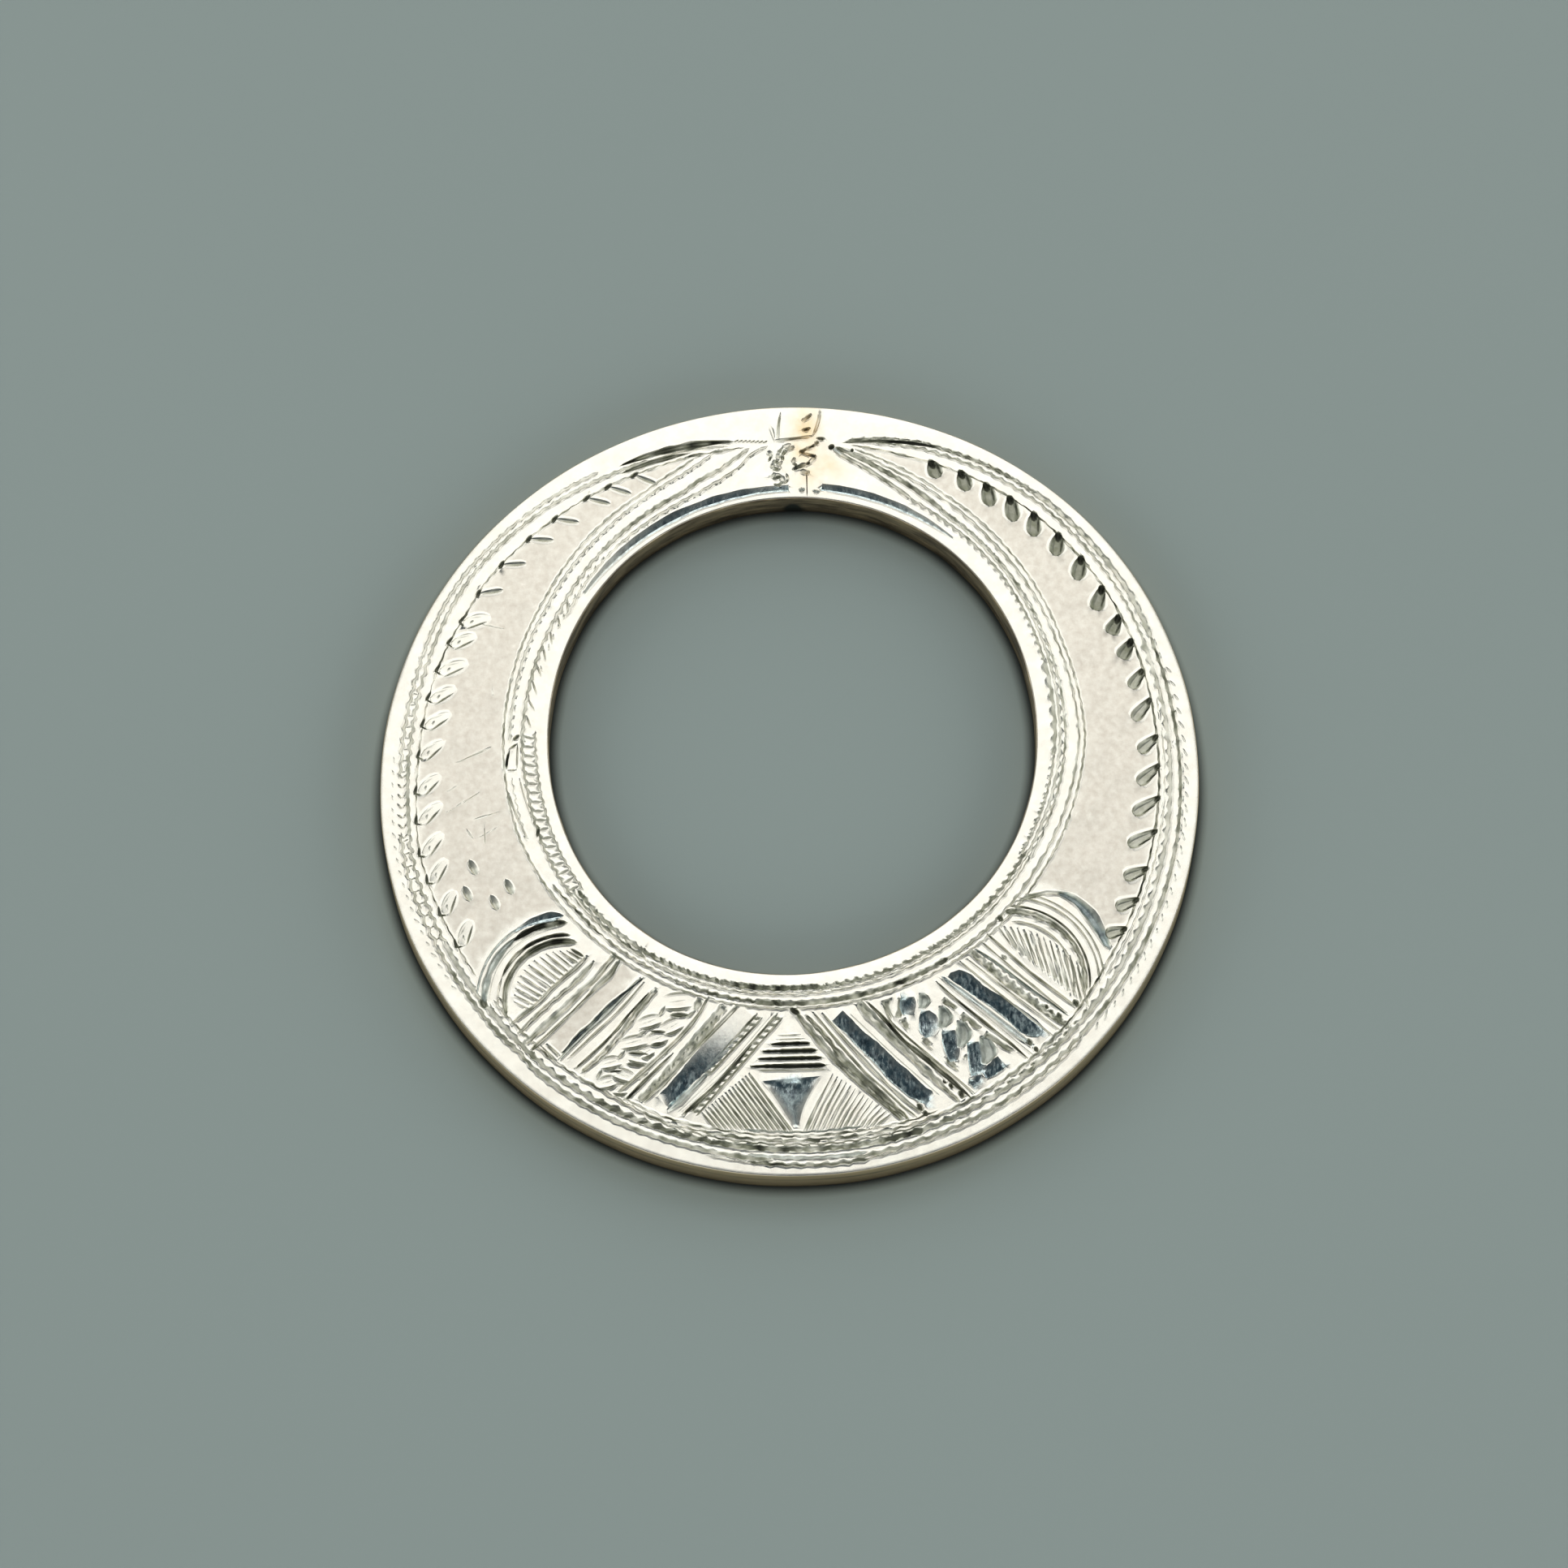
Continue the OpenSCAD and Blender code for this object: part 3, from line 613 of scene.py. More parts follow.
# Each left tooth is a shallow leaf with a dark line on one side, two fainter ones in it, a pit at its
# start and a short spur across that.
for degrees in LEFT_TEETH:
    line = tooth_line_at(degrees)
    start = from_outline(degrees + 0.2, line + 0.15)
    end = from_outline(degrees - 3.1, line + 1.35 + 0.08 * rng.normal())
    heading, (x, y) = heading_of(start, end), middle_of(start, end)
    tooth(start, end, 0.68 + 0.05 * rng.normal(), 0.05, 0.85, LEFT_FULLNESS, LEFT_SINKING, flat=1, halo=0.2,
          dull=0.1)
    turn = math.radians(heading - 90)
    side_x, side_y = 0.27 * math.cos(turn), 0.27 * math.sin(turn)
    ahead_x, ahead_y = math.cos(math.radians(heading)), math.sin(math.radians(heading))
    stroke(x + side_x - 0.1 * ahead_x, y + side_y - 0.1 * ahead_y, 1.3, heading + 5, 0.13, 0.08, dull=1.1,
           lip=0.5)
    stroke(x - 0.7 * side_x, y - 0.7 * side_y, 0.9, heading - 9, 0.1, 0.04, dull=0.7, lip=0.4)
    stroke(x - 0.3 * ahead_x, y - 0.3 * ahead_y, 0.4, heading + 30, 0.12, 0.05, dull=0.8, lip=0.0)
    stroke(*from_outline(degrees - 0.5, line - 0.02), 0.66, degrees + 78, 0.19, 0.13, belly=0.75, dull=1.4)
    groove(*from_outline(degrees + 0.15, line - 0.1), *from_outline(degrees + 0.5, line + 0.3), 0.14, 0.1,
           step=0.2, dull=1.2)

# Seam side.
# The plate was bent round and soldered at the top. Beside that seam the border lines rise to two points
# with dark crescents above them, and loose scribbled cuts and a lap mark like a U cover the solder.
LEFT_CRESCENT = (-2.9, 0.84)
RIGHT_CRESCENT = (4.7, 1.2)
arc(*LEFT_CRESCENT, 16.22, 91, 23.5, 0.42, 0.17, taper=7, lean=0.3, dull=1.7)
arc(*LEFT_CRESCENT, 15.95, 92, 14, 0.12, 0.05, taper=4)
arc(*LEFT_CRESCENT, 15.78, 100, 15, 0.26, 0.12, taper=5, lean=0.3, step=0.42, wave=0.03, dull=1.4)
arc(*RIGHT_CRESCENT, 15.9, 76, 21, 0.26, 0.13, taper=8, lean=0.3, step=0.42, wave=0.06, dull=1.4)
groove(-6.0, 16.1, -4.8, 16.35, 0.14, 0.09, bow=0.05, dull=1.2)
for share in np.linspace(0, 1, 8):
    stroke(-3.1 + 1.6 * share, 17.1 - 0.06 * share, 0.34, 25, 0.1, 0.06, dull=0.9)

# Lap mark: two ends, width, depth, bow and tarnish of each line.
LAP_MARK = [
    (-0.62, 18.8, -0.78, 17.1, 0.2, 0.05, -0.05, 0.8), (-1.3, 18.1, -1.0, 17.12, 0.22, 0.04, 0.06, 0.5),
    (-1.0, 17.1, 1.15, 17.38, 0.22, 0.05, 0.0, 0.95), (1.15, 17.38, 1.57, 18.9, 0.2, 0.05, -0.08, 1.0)]
for *line, bow, dull in LAP_MARK:
    groove(*line, bow=bow, shake=0.3, flat=1.7, dull=dull)

# Scribbles: the corners of each line, and its tarnish.
SCRIBBLES = [
    ([(-0.1, 16.9), (-0.5, 16.75), (-0.75, 16.4), (-0.8, 16.05)], 0.8),
    ([(0.1, 16.75), (-0.3, 16.6), (-0.55, 16.25), (-0.5, 15.95)], 0.8),
    ([(-0.75, 16.0), (-1.05, 15.8), (-1.1, 15.5), (-0.7, 15.4)], 0.8),
    ([(-0.55, 15.9), (-0.8, 15.65), (-0.6, 15.5)], 0.8),
    ([(-1.25, 15.0), (-0.9, 15.15), (-0.6, 15.05), (-0.5, 14.7), (-0.9, 14.4)], 0.8),
    ([(-0.3, 15.15), (-0.2, 14.85), (-0.45, 14.6)], 0.8), ([(-1.3, 16.5), (-1.15, 16.2), (-1.3, 15.9)], 0.8),
    ([(0.45, 16.4), (0.8, 16.65), (1.25, 16.85)], 1.1),
    ([(0.6, 16.4), (1.3, 16.2), (0.95, 15.8), (0.1, 15.45)], 1.1), ([(0.5, 15.32), (0.95, 15.25)], 1.1),
    ([(1.4, 17.27), (1.8, 17.22)], 1.1), ([(0.15, 16.1), (0.05, 15.8), (0.3, 15.65)], 1.1),
    ([(0.6, 18.3), (1.05, 18.65)], 1.1), ([(0.6, 17.72), (1.0, 17.85)], 1.1)]
for corners, dull in SCRIBBLES:
    for (from_x, from_y), (to_x, to_y) in zip(corners, corners[1:]):
        over_x, over_y = 0.12 * (to_x - from_x), 0.12 * (to_y - from_y)
        groove(from_x - over_x, from_y - over_y, to_x + over_x, to_y + over_y, 0.23, 0.05, step=0.13,
               taper=0.06, shake=0.35, flat=1.7, dull=dull, lip=1.2)
stroke(1.38, 17.0, 0.32, 30, 0.26, 0.08, dull=1.2)
stroke(0.9, 15.8, 0.3, 40, 0.2, 0.1, dull=1.6)
stroke(-0.85, 14.95, 0.6, 15, 0.24, 0.12, dull=1.4)
stroke(-0.8, 14.5, 0.5, -20, 0.2, 0.1, dull=1.1)
for *spot, width in ((0.55, 14.25, 0.4, 5, 0.28), (-0.35, 14.3, 0.4, 60, 0.2), (1.35, 14.15, 0.5, -10, 0.2)):
    stroke(*spot, width, 0.1, dull=1.0, blue=0.5)
groove(0.82, 15.2, 0.84, 13.9, 0.07, 0.12, step=0.2, dull=1.4)
stroke(2.2, 16.75, 0.42, 40, 0.32, 0.2, dull=1.7)
stroke(2.6, 16.45, 1.0, -35, 0.2, 0.08, dull=0.6, blue=0.5)
stroke(3.35, 16.55, 0.26, 80, 0.2, 0.12, dull=1.5)

# Facet along the top of the opening, cut flat and bright, broken beside the seam. Each strip has a start,
# stop and distance from the opening, and its widths and its share of mirror, which takes the painted
# reflection colour, at equal steps.
FACET_STRIPS = [
    (52, 83.4, 0.62, (0.1, 0.3, 0.42, 0.46, 0.46), (0.6, 1, 1, 1, 1)),
    (90.7, 144.5, 0.5, (0.36, 0.46, 0.5, 0.42, 0.16), (1, 1, 0.9, 0.7, 0.3))]
for start, stop, distance, widths, mirrors in FACET_STRIPS:
    along = np.linspace(0, stop - start, round((stop - start) / 1.2))
    steps = np.linspace(0, stop - start, 5)
    half = np.interp(along, steps, widths) / 2 * (1 + 0.08 * drift(len(along)))
    radius = opening_radius(along + start) + distance
    depth = 0.16 * np.minimum(2 * half, 0.36) / 0.36
    carve((*OPENING_CENTRE, start, True), along, radius, half, half, -0.97 * half, depth, dull=0.0,
          blue=np.interp(along, steps, mirrors))

# Ornament field, left half.
# Below the opening, slanting grooves part the field into bright-cut bands, leaf panels, rows of beads and
# lunettes. Each groove was pushed along in one go, and is a row of points with a share of its width at
# each. Each cell was cut out between two edges.
GROOVE_SPREAD = 1.15


def trail(points, width, depth, pitch=0.0, reach=0.2, **more):
    """A hand-cut groove through points given as x, y and a share of the width. It lies on a straight chart
    from a reach before the first point to a reach past the last, and its middle and width change in
    straight steps."""
    chart, length = between(*points[0][:2], *points[-1][:2])
    places = np.array(points, float)
    at, off = to_chart(chart, places[:, :2])
    along = np.linspace(-reach, length + reach, max(4, 4 * round(length / (pitch or 1.2))) + 1)
    widths = GROOVE_SPREAD * width * np.interp(along, at, places[:, 2])
    hand_cut(chart, along, np.interp(along, at, off), widths, depth, taper=0.14, blunt=0.75, **more)


def cell(left_edge, right_edge, depth, lean=0.0, depths=(1, 1), run=0.16, grow=0.04, blue=0.0, **more):
    """A cut of free outline on a straight chart between the middles of its two ends. Both edges are rows of
    points from start to end, and grow widens it. It sinks over a short run at either end, and depths are
    shares of its depth along the way."""
    left_edge, right_edge = np.array(left_edge, float), np.array(right_edge, float)
    chart, length = between(*(left_edge[0] + right_edge[0]) / 2, *(left_edge[-1] + right_edge[-1]) / 2)
    inner = np.linspace(run, length - run, max(5, round(length / 0.2)))
    along = np.concatenate([[0, 0.3 * run], inner, [length - 0.3 * run, length]])
    left, right = (np.interp(along, *to_chart(chart, edge)) for edge in (left_edge, right_edge))
    half = np.maximum((left - right) / 2, 0)
    half = half + grow + 0.012 * rng.normal(size=len(along))
    half = np.maximum(half, 0.01)
    sinking = np.interp(along / length, np.linspace(0, 1, len(depths)), depths)
    ends = np.clip(np.minimum(along, length - along) / run, 0, 1)
    sunk = depth * sinking * np.sqrt(half / half.max()) * ends
    mirror = blue * np.minimum(sinking * 1.2, 1)
    carve(chart, along, (left + right) / 2, half, half, lean * half, sunk, blue=mirror, **more)


def bead_row(x1, y1, x2, y2, width, count, heading):
    """A row of small white beads left standing between two fine grooves by short cross cuts."""
    chart, length = between(x1, y1, x2, y2)
    for side in (-0.5, 0.5):
        ends = from_chart(chart, np.array([0.0, length]), side * width)
        groove(*ends[0], *ends[1], 0.13, 0.08, step=0.22, wave=0.02, dull=1.0)
    places = from_chart(chart, (np.arange(count) + 0.5) * length / count, np.zeros(count))
    for bead_x, bead_y in places:
        stroke(bead_x, bead_y, 1.25 * width, heading + 6 * rng.normal(), 0.2, 0.09, dull=1.0, lip=0.3)


# Two rows of beads with a smooth ridge between them, and the broad bright-cut band on their left.
bead_row(-0.65, -16.0, -5.35, -21.55, 0.36, 16, 10)
bead_row(-1.75, -16.0, -4.75, -19.35, 0.36, 10, 10)
trail([(-2.3, -17.75, 0.5), (-3.1, -18.75, 1), (-4, -19.8, 1.2), (-5, -20.75, 1.4), (-5.85, -21.5, 1)],
       0.15, 0.13, dull=1.3)
trail([(-4.6, -19.25, 0.6), (-5.4, -20.1, 1.2), (-6.15, -20.85, 1.3), (-6.65, -21.25, 0.8)], 0.3, 0.11,
       blue=0.4)
trail([(-1.3, -16.2, 1), (-3.1, -18.4, 1), (-6.1, -21.35, 1)], 0.05, 0.015, lip=0.0)
trail([(-1.15, -16.3, 1), (-2.9, -18.5, 1), (-5.9, -21.35, 1)], 0.05, 0.015, lip=0.0)
cell(
    [(-1.8, -16.0), (-2.4, -16.7), (-2.9, -17.3), (-3.5, -18.0), (-4.1, -18.65), (-4.9, -19.3),
     (-5.75, -20.15), (-6.55, -21.0)],
    [(-3.0, -15.6), (-3.9, -16.6), (-4.8, -17.6), (-5.7, -18.7), (-6.5, -19.7), (-7.4, -20.7),
     (-7.3, -21.0)],
    0.34, lean=0.96, depths=(0.0, 0.12, 0.3, 0.6, 0.95, 1.0), run=0.2, flat=1.0, dull=0.0, blue=1.0)
trail([(-3.05, -15.55, 1.3), (-3.7, -16.25, 1.2), (-4.5, -17.1, 1), (-5.2, -17.85, 0.8), (-6, -18.75, 0.8),
       (-7, -19.9, 0.9), (-8.0, -20.8, 0.8)], 0.21, 0.1, shake=0.2, dull=0.75)
trail([(-3.8, -15.6, 0.8), (-4.3, -16.25, 1), (-5.1, -17.25, 1.1), (-6, -18.35, 1), (-7, -19.5, 0.9),
       (-8.2, -20.65, 0.6)], 0.46, 0.1, flat=1.8, dull=0.75, pitch=0.5, teeth=(0.03, 0.03))
for share in np.linspace(0.06, 0.94, 15):
    stroke(-3.9 - 4.1 * share, -15.9 - 4.6 * share, 0.5, -112 + 8 * rng.normal(), 0.13, 0.15, dull=1.0,
           lip=0.5)
trail([(-6.6, -18.25, 0.5), (-7.4, -19.05, 1), (-8.1, -19.75, 1.2), (-8.95, -20.65, 0.8)], 0.16, 0.11,
       dull=1.2)
trail([(-4.65, -15.1, 0.7), (-5.0, -15.8, 1), (-5.5, -16.5, 1), (-6.1, -17.2, 0.9), (-7, -18.1, 1.1),
       (-8, -19.05, 1.1), (-9.3, -20.2, 0.8)], 0.22, 0.11, dull=0.75)

# Leaf panel: plump white leaves packed close together, each between a thin line above and a dark crescent
# below. A leaf or a gap has a place, length, width and heading, and a fleck a place and heading.
LEAVES = [
    (-6.25, -15.2, 1.6, 0.6, 5), (-7.8, -16.35, 1.4, 0.34, 17), (-6.55, -16.6, 1.3, 0.42, 24),
    (-7.35, -17.28, 1.2, 0.4, 18), (-8.65, -17.5, 1.6, 0.36, 12), (-8.35, -18.38, 1.2, 0.32, -12),
    (-7.95, -18.05, 0.9, 0.3, 25), (-9.9, -18.65, 1.3, 0.34, 12), (-9.2, -19.35, 1.2, 0.36, -18),
    (-10.05, -19.75, 1.1, 0.36, 14), (-9.35, -20.15, 0.9, 0.3, 0)]
for x, y, length, width, heading in LEAVES:
    turn = math.radians(heading + 90)
    above, below = 0.5 * width + 0.04, -0.5 * width - 0.06
    stroke(x + above * math.cos(turn), y + above * math.sin(turn), length, heading, 0.13, 0.06, bow=0.12,
           dull=0.75, lip=0.6)
    stroke(x + below * math.cos(turn), y + below * math.sin(turn), 0.95 * length, heading, 0.22, 0.1,
           bow=-0.12, lean=0.3, dull=1.1)
    stroke(x, y, 0.6 * length, heading + 4, 0.06, 0.02, dull=0.5, lip=0.0)
LEAF_GAPS = [
    (-6.15, -15.98, 1.1, 0.3, 0), (-7.3, -16.92, 0.9, 0.16, -4), (-7.3, -17.62, 0.9, 0.24, 8),
    (-8.4, -18.15, 1.2, 0.14, -3), (-8.5, -18.78, 1.1, 0.26, -6), (-9.6, -19.15, 0.8, 0.12, 5)]
for x, y, length, width, heading in LEAF_GAPS:
    stroke(x, y, length, heading, width, 0.13, lean=0.2, dull=1.35)
FLECKS = [
    (-5.5, -15.9, 40), (-6.0, -17.1, 45), (-7.1, -15.75, 60), (-6.9, -18.1, 45), (-8.2, -17.0, 30),
    (-9.3, -18.2, 50), (-8.1, -19.4, 35), (-10.5, -19.3, 60), (-8.9, -20.6, 30), (-5.2, -15.4, 70)]
for x, y, heading in FLECKS:
    stroke(x, y, 0.75, heading, 0.2, 0.08, dull=0.75)
cell(
    [(-4.85, -15.05), (-4.95, -15.4), (-5.2, -15.75)],
    [(-5.15, -15.0), (-5.3, -15.3), (-5.38, -15.65)],
    0.1, dull=0.75, flat=1.8)

# Grooves between the leaf panel and the plain band, and the plain band's dark foot.
trail([(-7.5, -14.6, 0.8), (-7.75, -14.9, 1.1), (-8.35, -15.6, 1), (-8.85, -16.35, 1.1),
       (-9.35, -17.05, 1.1), (-10.1, -17.95, 0.9), (-10.75, -18.6, 0.9), (-11.3, -19.05, 0.6)], 0.32,
       0.12, pitch=0.6, wave=0.03, dull=0.75)
trail([(-7.95, -14.85, 0.6), (-8.95, -16, 1), (-9.5, -16.75, 1.1), (-10.2, -17.5, 1), (-11.25, -18.5, 1),
       (-11.7, -18.9, 0.7)], 0.14, 0.1, dull=1.3)
trail([(-8.2, -14.25, 0.8), (-8.75, -14.95, 1), (-9.6, -15.9, 1), (-10.8, -17.05, 1),
       (-12.1, -18.35, 0.8)], 0.12, 0.07, dull=0.75)
trail([(-8.4, -14.0, 0.7), (-9.3, -15.0, 1), (-10.2, -15.95, 1.2), (-11.1, -16.8, 1.2), (-12, -17.72, 1.1),
       (-12.6, -18.4, 0.8)], 0.19, 0.1, blue=0.3, dull=0.75)
trail([(-8.25, -14.0, 0.7), (-9.4, -14.92, 1), (-9.75, -15.25, 1.5), (-10.2, -15.65, 1.3),
       (-10.7, -16.23, 1.6), (-11.0, -16.5, 0.8), (-11.5, -16.97, 1.7), (-11.9, -17.4, 1.4),
       (-12.4, -18.0, 0.8)], 0.13, 0.16, pitch=0.6, dull=1.8, blue=0.3)
trail([(-13.7, -17.7, 0.8), (-12.8, -18.6, 1)], 0.12, 0.07, reach=0.0)
trail([(-13.4, -17.6, 0.9), (-12.65, -18.3, 1)], 0.15, 0.08, reach=0.0, dull=0.75)
PLAIN_BAND = [(-8.85, -13.4), (-13.0, -17.8)]
PLAIN_BAND_HALF, PLAIN_BAND_LENGTH = 0.55, 6.0
trail([(-9.5, -12.95, 0.8), (-9.9, -13.65, 1.5), (-10.75, -14.45, 1.3), (-11.4, -15.2, 0.8),
       (-12.6, -16.4, 0.7), (-13.4, -17.2, 1), (-14.1, -17.85, 0.9)], 0.2, 0.1, shake=0.2, dull=0.75)
trail([(-9.75, -12.65, 0.9), (-10.15, -13.15, 1), (-10.75, -13.95, 0.9), (-11.5, -14.6, 0.9),
       (-12.6, -15.75, 1.2), (-13.6, -16.7, 1.3), (-14.5, -17.5, 1)], 0.3, 0.11, pitch=0.8, wave=0.02,
       teeth=(0.02, 0.03), dull=0.755)
trail([(-10.95, -13.05, 0.8), (-11.35, -13.55, 1.3), (-12, -14.25, 1), (-13, -15.1, 1), (-14, -16.05, 1),
       (-14.8, -16.9, 0.7)], 0.22, 0.1, pitch=0.8, wave=0.03, teeth=(0.04, 0), dull=0.75)
trail([(-11.3, -12.75, 0.8), (-11.75, -13.25, 1.2), (-12.4, -13.8, 1), (-13.25, -14.6, 1),
       (-13.75, -15.2, 1.2), (-14.7, -15.95, 1.3), (-15.2, -16.4, 0.7)], 0.2, 0.1, pitch=0.9, wave=0.02,
       dull=0.75)

# Left lunette: bold dark arcs round a hatched segment, fading to grey towards the outline.
LEFT_LUNETTE = (-12.4, -15.1)


def even_shares(count):
    """Numbers from 0 to 1 in even steps, one for each line of a hatching."""
    return [number / (count - 1) for number in range(count)]


def lunette_arc(centre, radius, start, sweep, width, shares, depth, **more):
    """An arc whose width follows shares at equal steps of its sweep."""
    along = np.linspace(0, sweep, max(9, round(math.radians(sweep) * radius / 0.22)) + 1)
    widths = width * np.interp(along / sweep, np.linspace(0, 1, len(shares)), shares)
    hand_cut((*centre, start, True), along, radius, widths, depth, taper=7.0, **more)


lunette_arc(LEFT_LUNETTE, 3.28, 78, 118, 0.3, (1.3, 1.5, 1.1, 1.0, 1.1, 0.9), 0.13, lean=0.3, dull=1.3)
lunette_arc(LEFT_LUNETTE, 3.3, 82, 50, 0.3, (1.0, 1.3, 0.9, 0.4), 0.17, lean=0.4, dull=1.7)
lunette_arc(LEFT_LUNETTE, 3.66, 85, 76, 0.2, (1.1, 1.2, 1, 0.7), 0.13, dull=1.6)
lunette_arc(LEFT_LUNETTE, 3.66, 159, 30, 0.12, (1, 1), 0.05, dull=0.5)
lunette_arc(LEFT_LUNETTE, 4.1, 98, 84, 0.06, (1, 1), 0.02)
lunette_arc(LEFT_LUNETTE, 4.36, 88, 44, 0.36, (1.1, 1.3, 1.1, 0.8, 0.5), 0.19, lean=0.3, dull=1.9)
lunette_arc(LEFT_LUNETTE, 4.4, 126, 62, 0.38, (0.5, 1.0, 1.1, 0.9, 0.7), 0.1, lean=0.3, blue=0.4, dull=1.1)
lunette_arc(LEFT_LUNETTE, 4.76, 91, 36, 0.42, (1.2, 1.2, 0.8, 0.4), 0.11, lean=-0.7, blue=1.0, dull=0.2)
lunette_arc(LEFT_LUNETTE, 4.8, 122, 56, 0.14, (1, 1, 0.8), 0.07, blue=0.5)
for share in even_shares(13):
    turn = math.radians(88 + 95 * share)
    outer = (LEFT_LUNETTE[0] + 2.75 * math.cos(turn), LEFT_LUNETTE[1] + 2.75 * math.sin(turn))
    inner = (-11.55 - 2.8 * share, -12.8 - 2.85 * share)
    trail([(*outer, 0.8), (*inner, 1.1)], 0.11, 0.06, pitch=0.9, reach=0.05, shake=0.25, dull=0.7)
stroke(-11.75, -12.45, 0.9, -32, 0.2, 0.14, dull=1.4)
stroke(-12.0, -12.85, 0.7, -28, 0.14, 0.09, dull=1.0)
cell(
    [(-17.0, -15.0), (-16.75, -15.1), (-16.6, -15.5)],
    [(-17.15, -15.2), (-16.95, -15.5), (-16.7, -15.65)],
    0.14, dull=1.3)
stroke(-16.15, -15.75, 1.1, -52, 0.14, 0.08, bow=-0.12)
stroke(-15.85, -15.35, 1.0, -60, 0.16, 0.1, bow=0.1)

# Ornament field, centre.
# A triangle of level black cuts stands over a plain lens. Below that is a dark three-sided sink, one hollow
# that grows shallower towards its point, between two corners hatched with fine lines.
# A level cut is given by its y, its left and right end and its width, and a fine line by the first three.
LEVEL_CUTS = ((-17.6, -1.2, 1.0, 0.14), (-18.0, -1.65, 1.4, 0.19), (-18.42, -1.9, 1.65, 0.16),
              (-18.85, -2.3, 1.9, 0.2))
for line_y, line_from, line_to, width in LEVEL_CUTS:
    middle = (line_from + line_to) / 2
    cell(
        [(line_from, line_y - 0.02), (middle - 0.4, line_y + width / 2),
         (line_to - 0.4, line_y + width / 2 + 0.04), (line_to, line_y + 0.05)],
        [(line_from, line_y - 0.04), (middle - 0.4, line_y - width / 2),
         (line_to - 0.4, line_y - width / 2 + 0.04), (line_to, line_y + 0.03)],
        0.17, flat=1.5, dull=1.95)
for line_y, line_from, line_to in ((-17.12, -0.8, 0.5), (-17.35, -0.9, 0.7), (-19.08, -1.9, 2.0)):
    groove(line_from, line_y - 0.02, line_to, line_y + 0.04, 0.09, 0.04, dull=0.9)
cell(
    [(1.62, -19.35), (1.2, -20.0), (0.8, -20.75), (0.5, -21.5), (0.36, -22.3)],
    [(-1.65, -19.75), (-1.15, -20.3), (-0.7, -21.0), (-0.25, -21.7), (0.1, -22.3)],
    0.4, depths=(1, 0.9, 0.75, 0.6, 0.5), run=0.3, grow=0.0, dull=0.0, blue=1.0, lip=0.6, flat=1.0)
for share in even_shares(15):
    trail([(-2.25 - 2.55 * share, -19.4 - 2.2 * share, 0.7),
           (-0.1 - 4.1 * share, -22.42 + 0.12 * share, 1)], 0.16, 0.08, lean=0.3, dull=0.9)
for share in even_shares(14):
    top_x, top_y = 2.15 + 3.1 * share, -19.45 - 2.2 * share
    foot_x, foot_y = 0.75 + 3.9 * share, -22.42 + 0.25 * share
    trail([(top_x, top_y, 0.5), ((top_x + foot_x) / 2 - 0.05, (top_y + foot_y) / 2, 0.8),
           (foot_x, foot_y, 1.2)], 0.14, 0.06, lean=-0.3, shake=0.25, dull=0.6)
stroke(0.15, -15.75, 0.7, -35, 0.34, 0.2, dull=1.7)
stroke(-0.85, -15.3, 0.6, -35, 0.26, 0.18, dull=1.6)

# Ornament field, right half.
# It answers the left half with two broad bright-cut bands, which mirror the dark, and a panel of leaves
# between them. From the centre come a twisted double groove, the first band and its grooves, and stabbed
# dots, each with a place and a size.
trail([(0.35, -16.05, 0.7), (1.0, -16.85, 1), (1.85, -17.9, 1.3), (2.55, -18.7, 1), (3.2, -19.35, 0.9),
       (3.9, -20, 0.8), (4.8, -20.8, 0.8), (5.9, -21.75, 0.6)], 0.3, 0.11, pitch=0.7, teeth=(0.05, 0.02),
       wave=0.03, dull=0.95)
trail([(0.85, -16.1, 0.6), (1.5, -16.8, 1), (2.0, -17.4, 0.9), (2.45, -18.05, 1.2), (3.0, -18.7, 1.3),
       (3.5, -19.25, 1.6), (3.95, -19.65, 1.6), (4.5, -20.1, 1.3), (5.1, -20.7, 1.2), (5.7, -21.25, 1),
       (6.2, -21.7, 0.6)], 0.25, 0.13, pitch=0.8, teeth=(0.03, 0.05), wave=0.05, dull=1.15)
trail([(1.25, -15.95, 0.8), (2.0, -16.9, 1), (3, -18.1, 1), (4, -19.25, 1), (4.9, -20.05, 1),
       (6, -21.1, 0.9), (6.65, -21.6, 0.6)], 0.14, 0.08, dull=0.9)
trail([(1.75, -16.0, 0.8), (3.0, -17.5, 1), (4.4, -19.05, 1.1), (5.3, -20.0, 1.1), (6.3, -20.9, 1.1),
       (6.95, -21.4, 0.8)], 0.17, 0.07)
cell(
    [(2.95, -15.98), (3.4, -16.4), (3.9, -17.0), (4.5, -17.4), (5.0, -17.9), (5.75, -18.65), (6.4, -19.2),
     (7.0, -19.85), (7.6, -20.3), (7.8, -20.65)],
    [(2.0, -16.05), (2.4, -16.5), (3.0, -17.05), (3.75, -17.9), (4.4, -18.5), (4.9, -19.1), (5.1, -19.45),
     (5.75, -20.0), (6.4, -20.55), (7.2, -20.95)],
    0.3, lean=-0.96, depths=(0.7, 1, 1, 1, 1, 1), run=0.3, flat=1.0, dull=0.0, blue=1.0)
trail([(3.3, -16.05, 1), (5.5, -18.2, 1), (7.9, -20.4, 1)], 0.06, 0.02, lip=0.0)
trail([(3.75, -15.4, 1.2), (4.2, -15.95, 1.5), (4.9, -16.65, 1.4), (5.5, -17.3, 1.1), (6.2, -18, 1),
       (6.9, -18.7, 1), (7.6, -19.4, 1), (8.3, -20.1, 0.8), (9.0, -20.75, 0.5)], 0.32, 0.1, pitch=0.6,
       wave=0.05, teeth=(0.03, 0.03), dull=0.85)
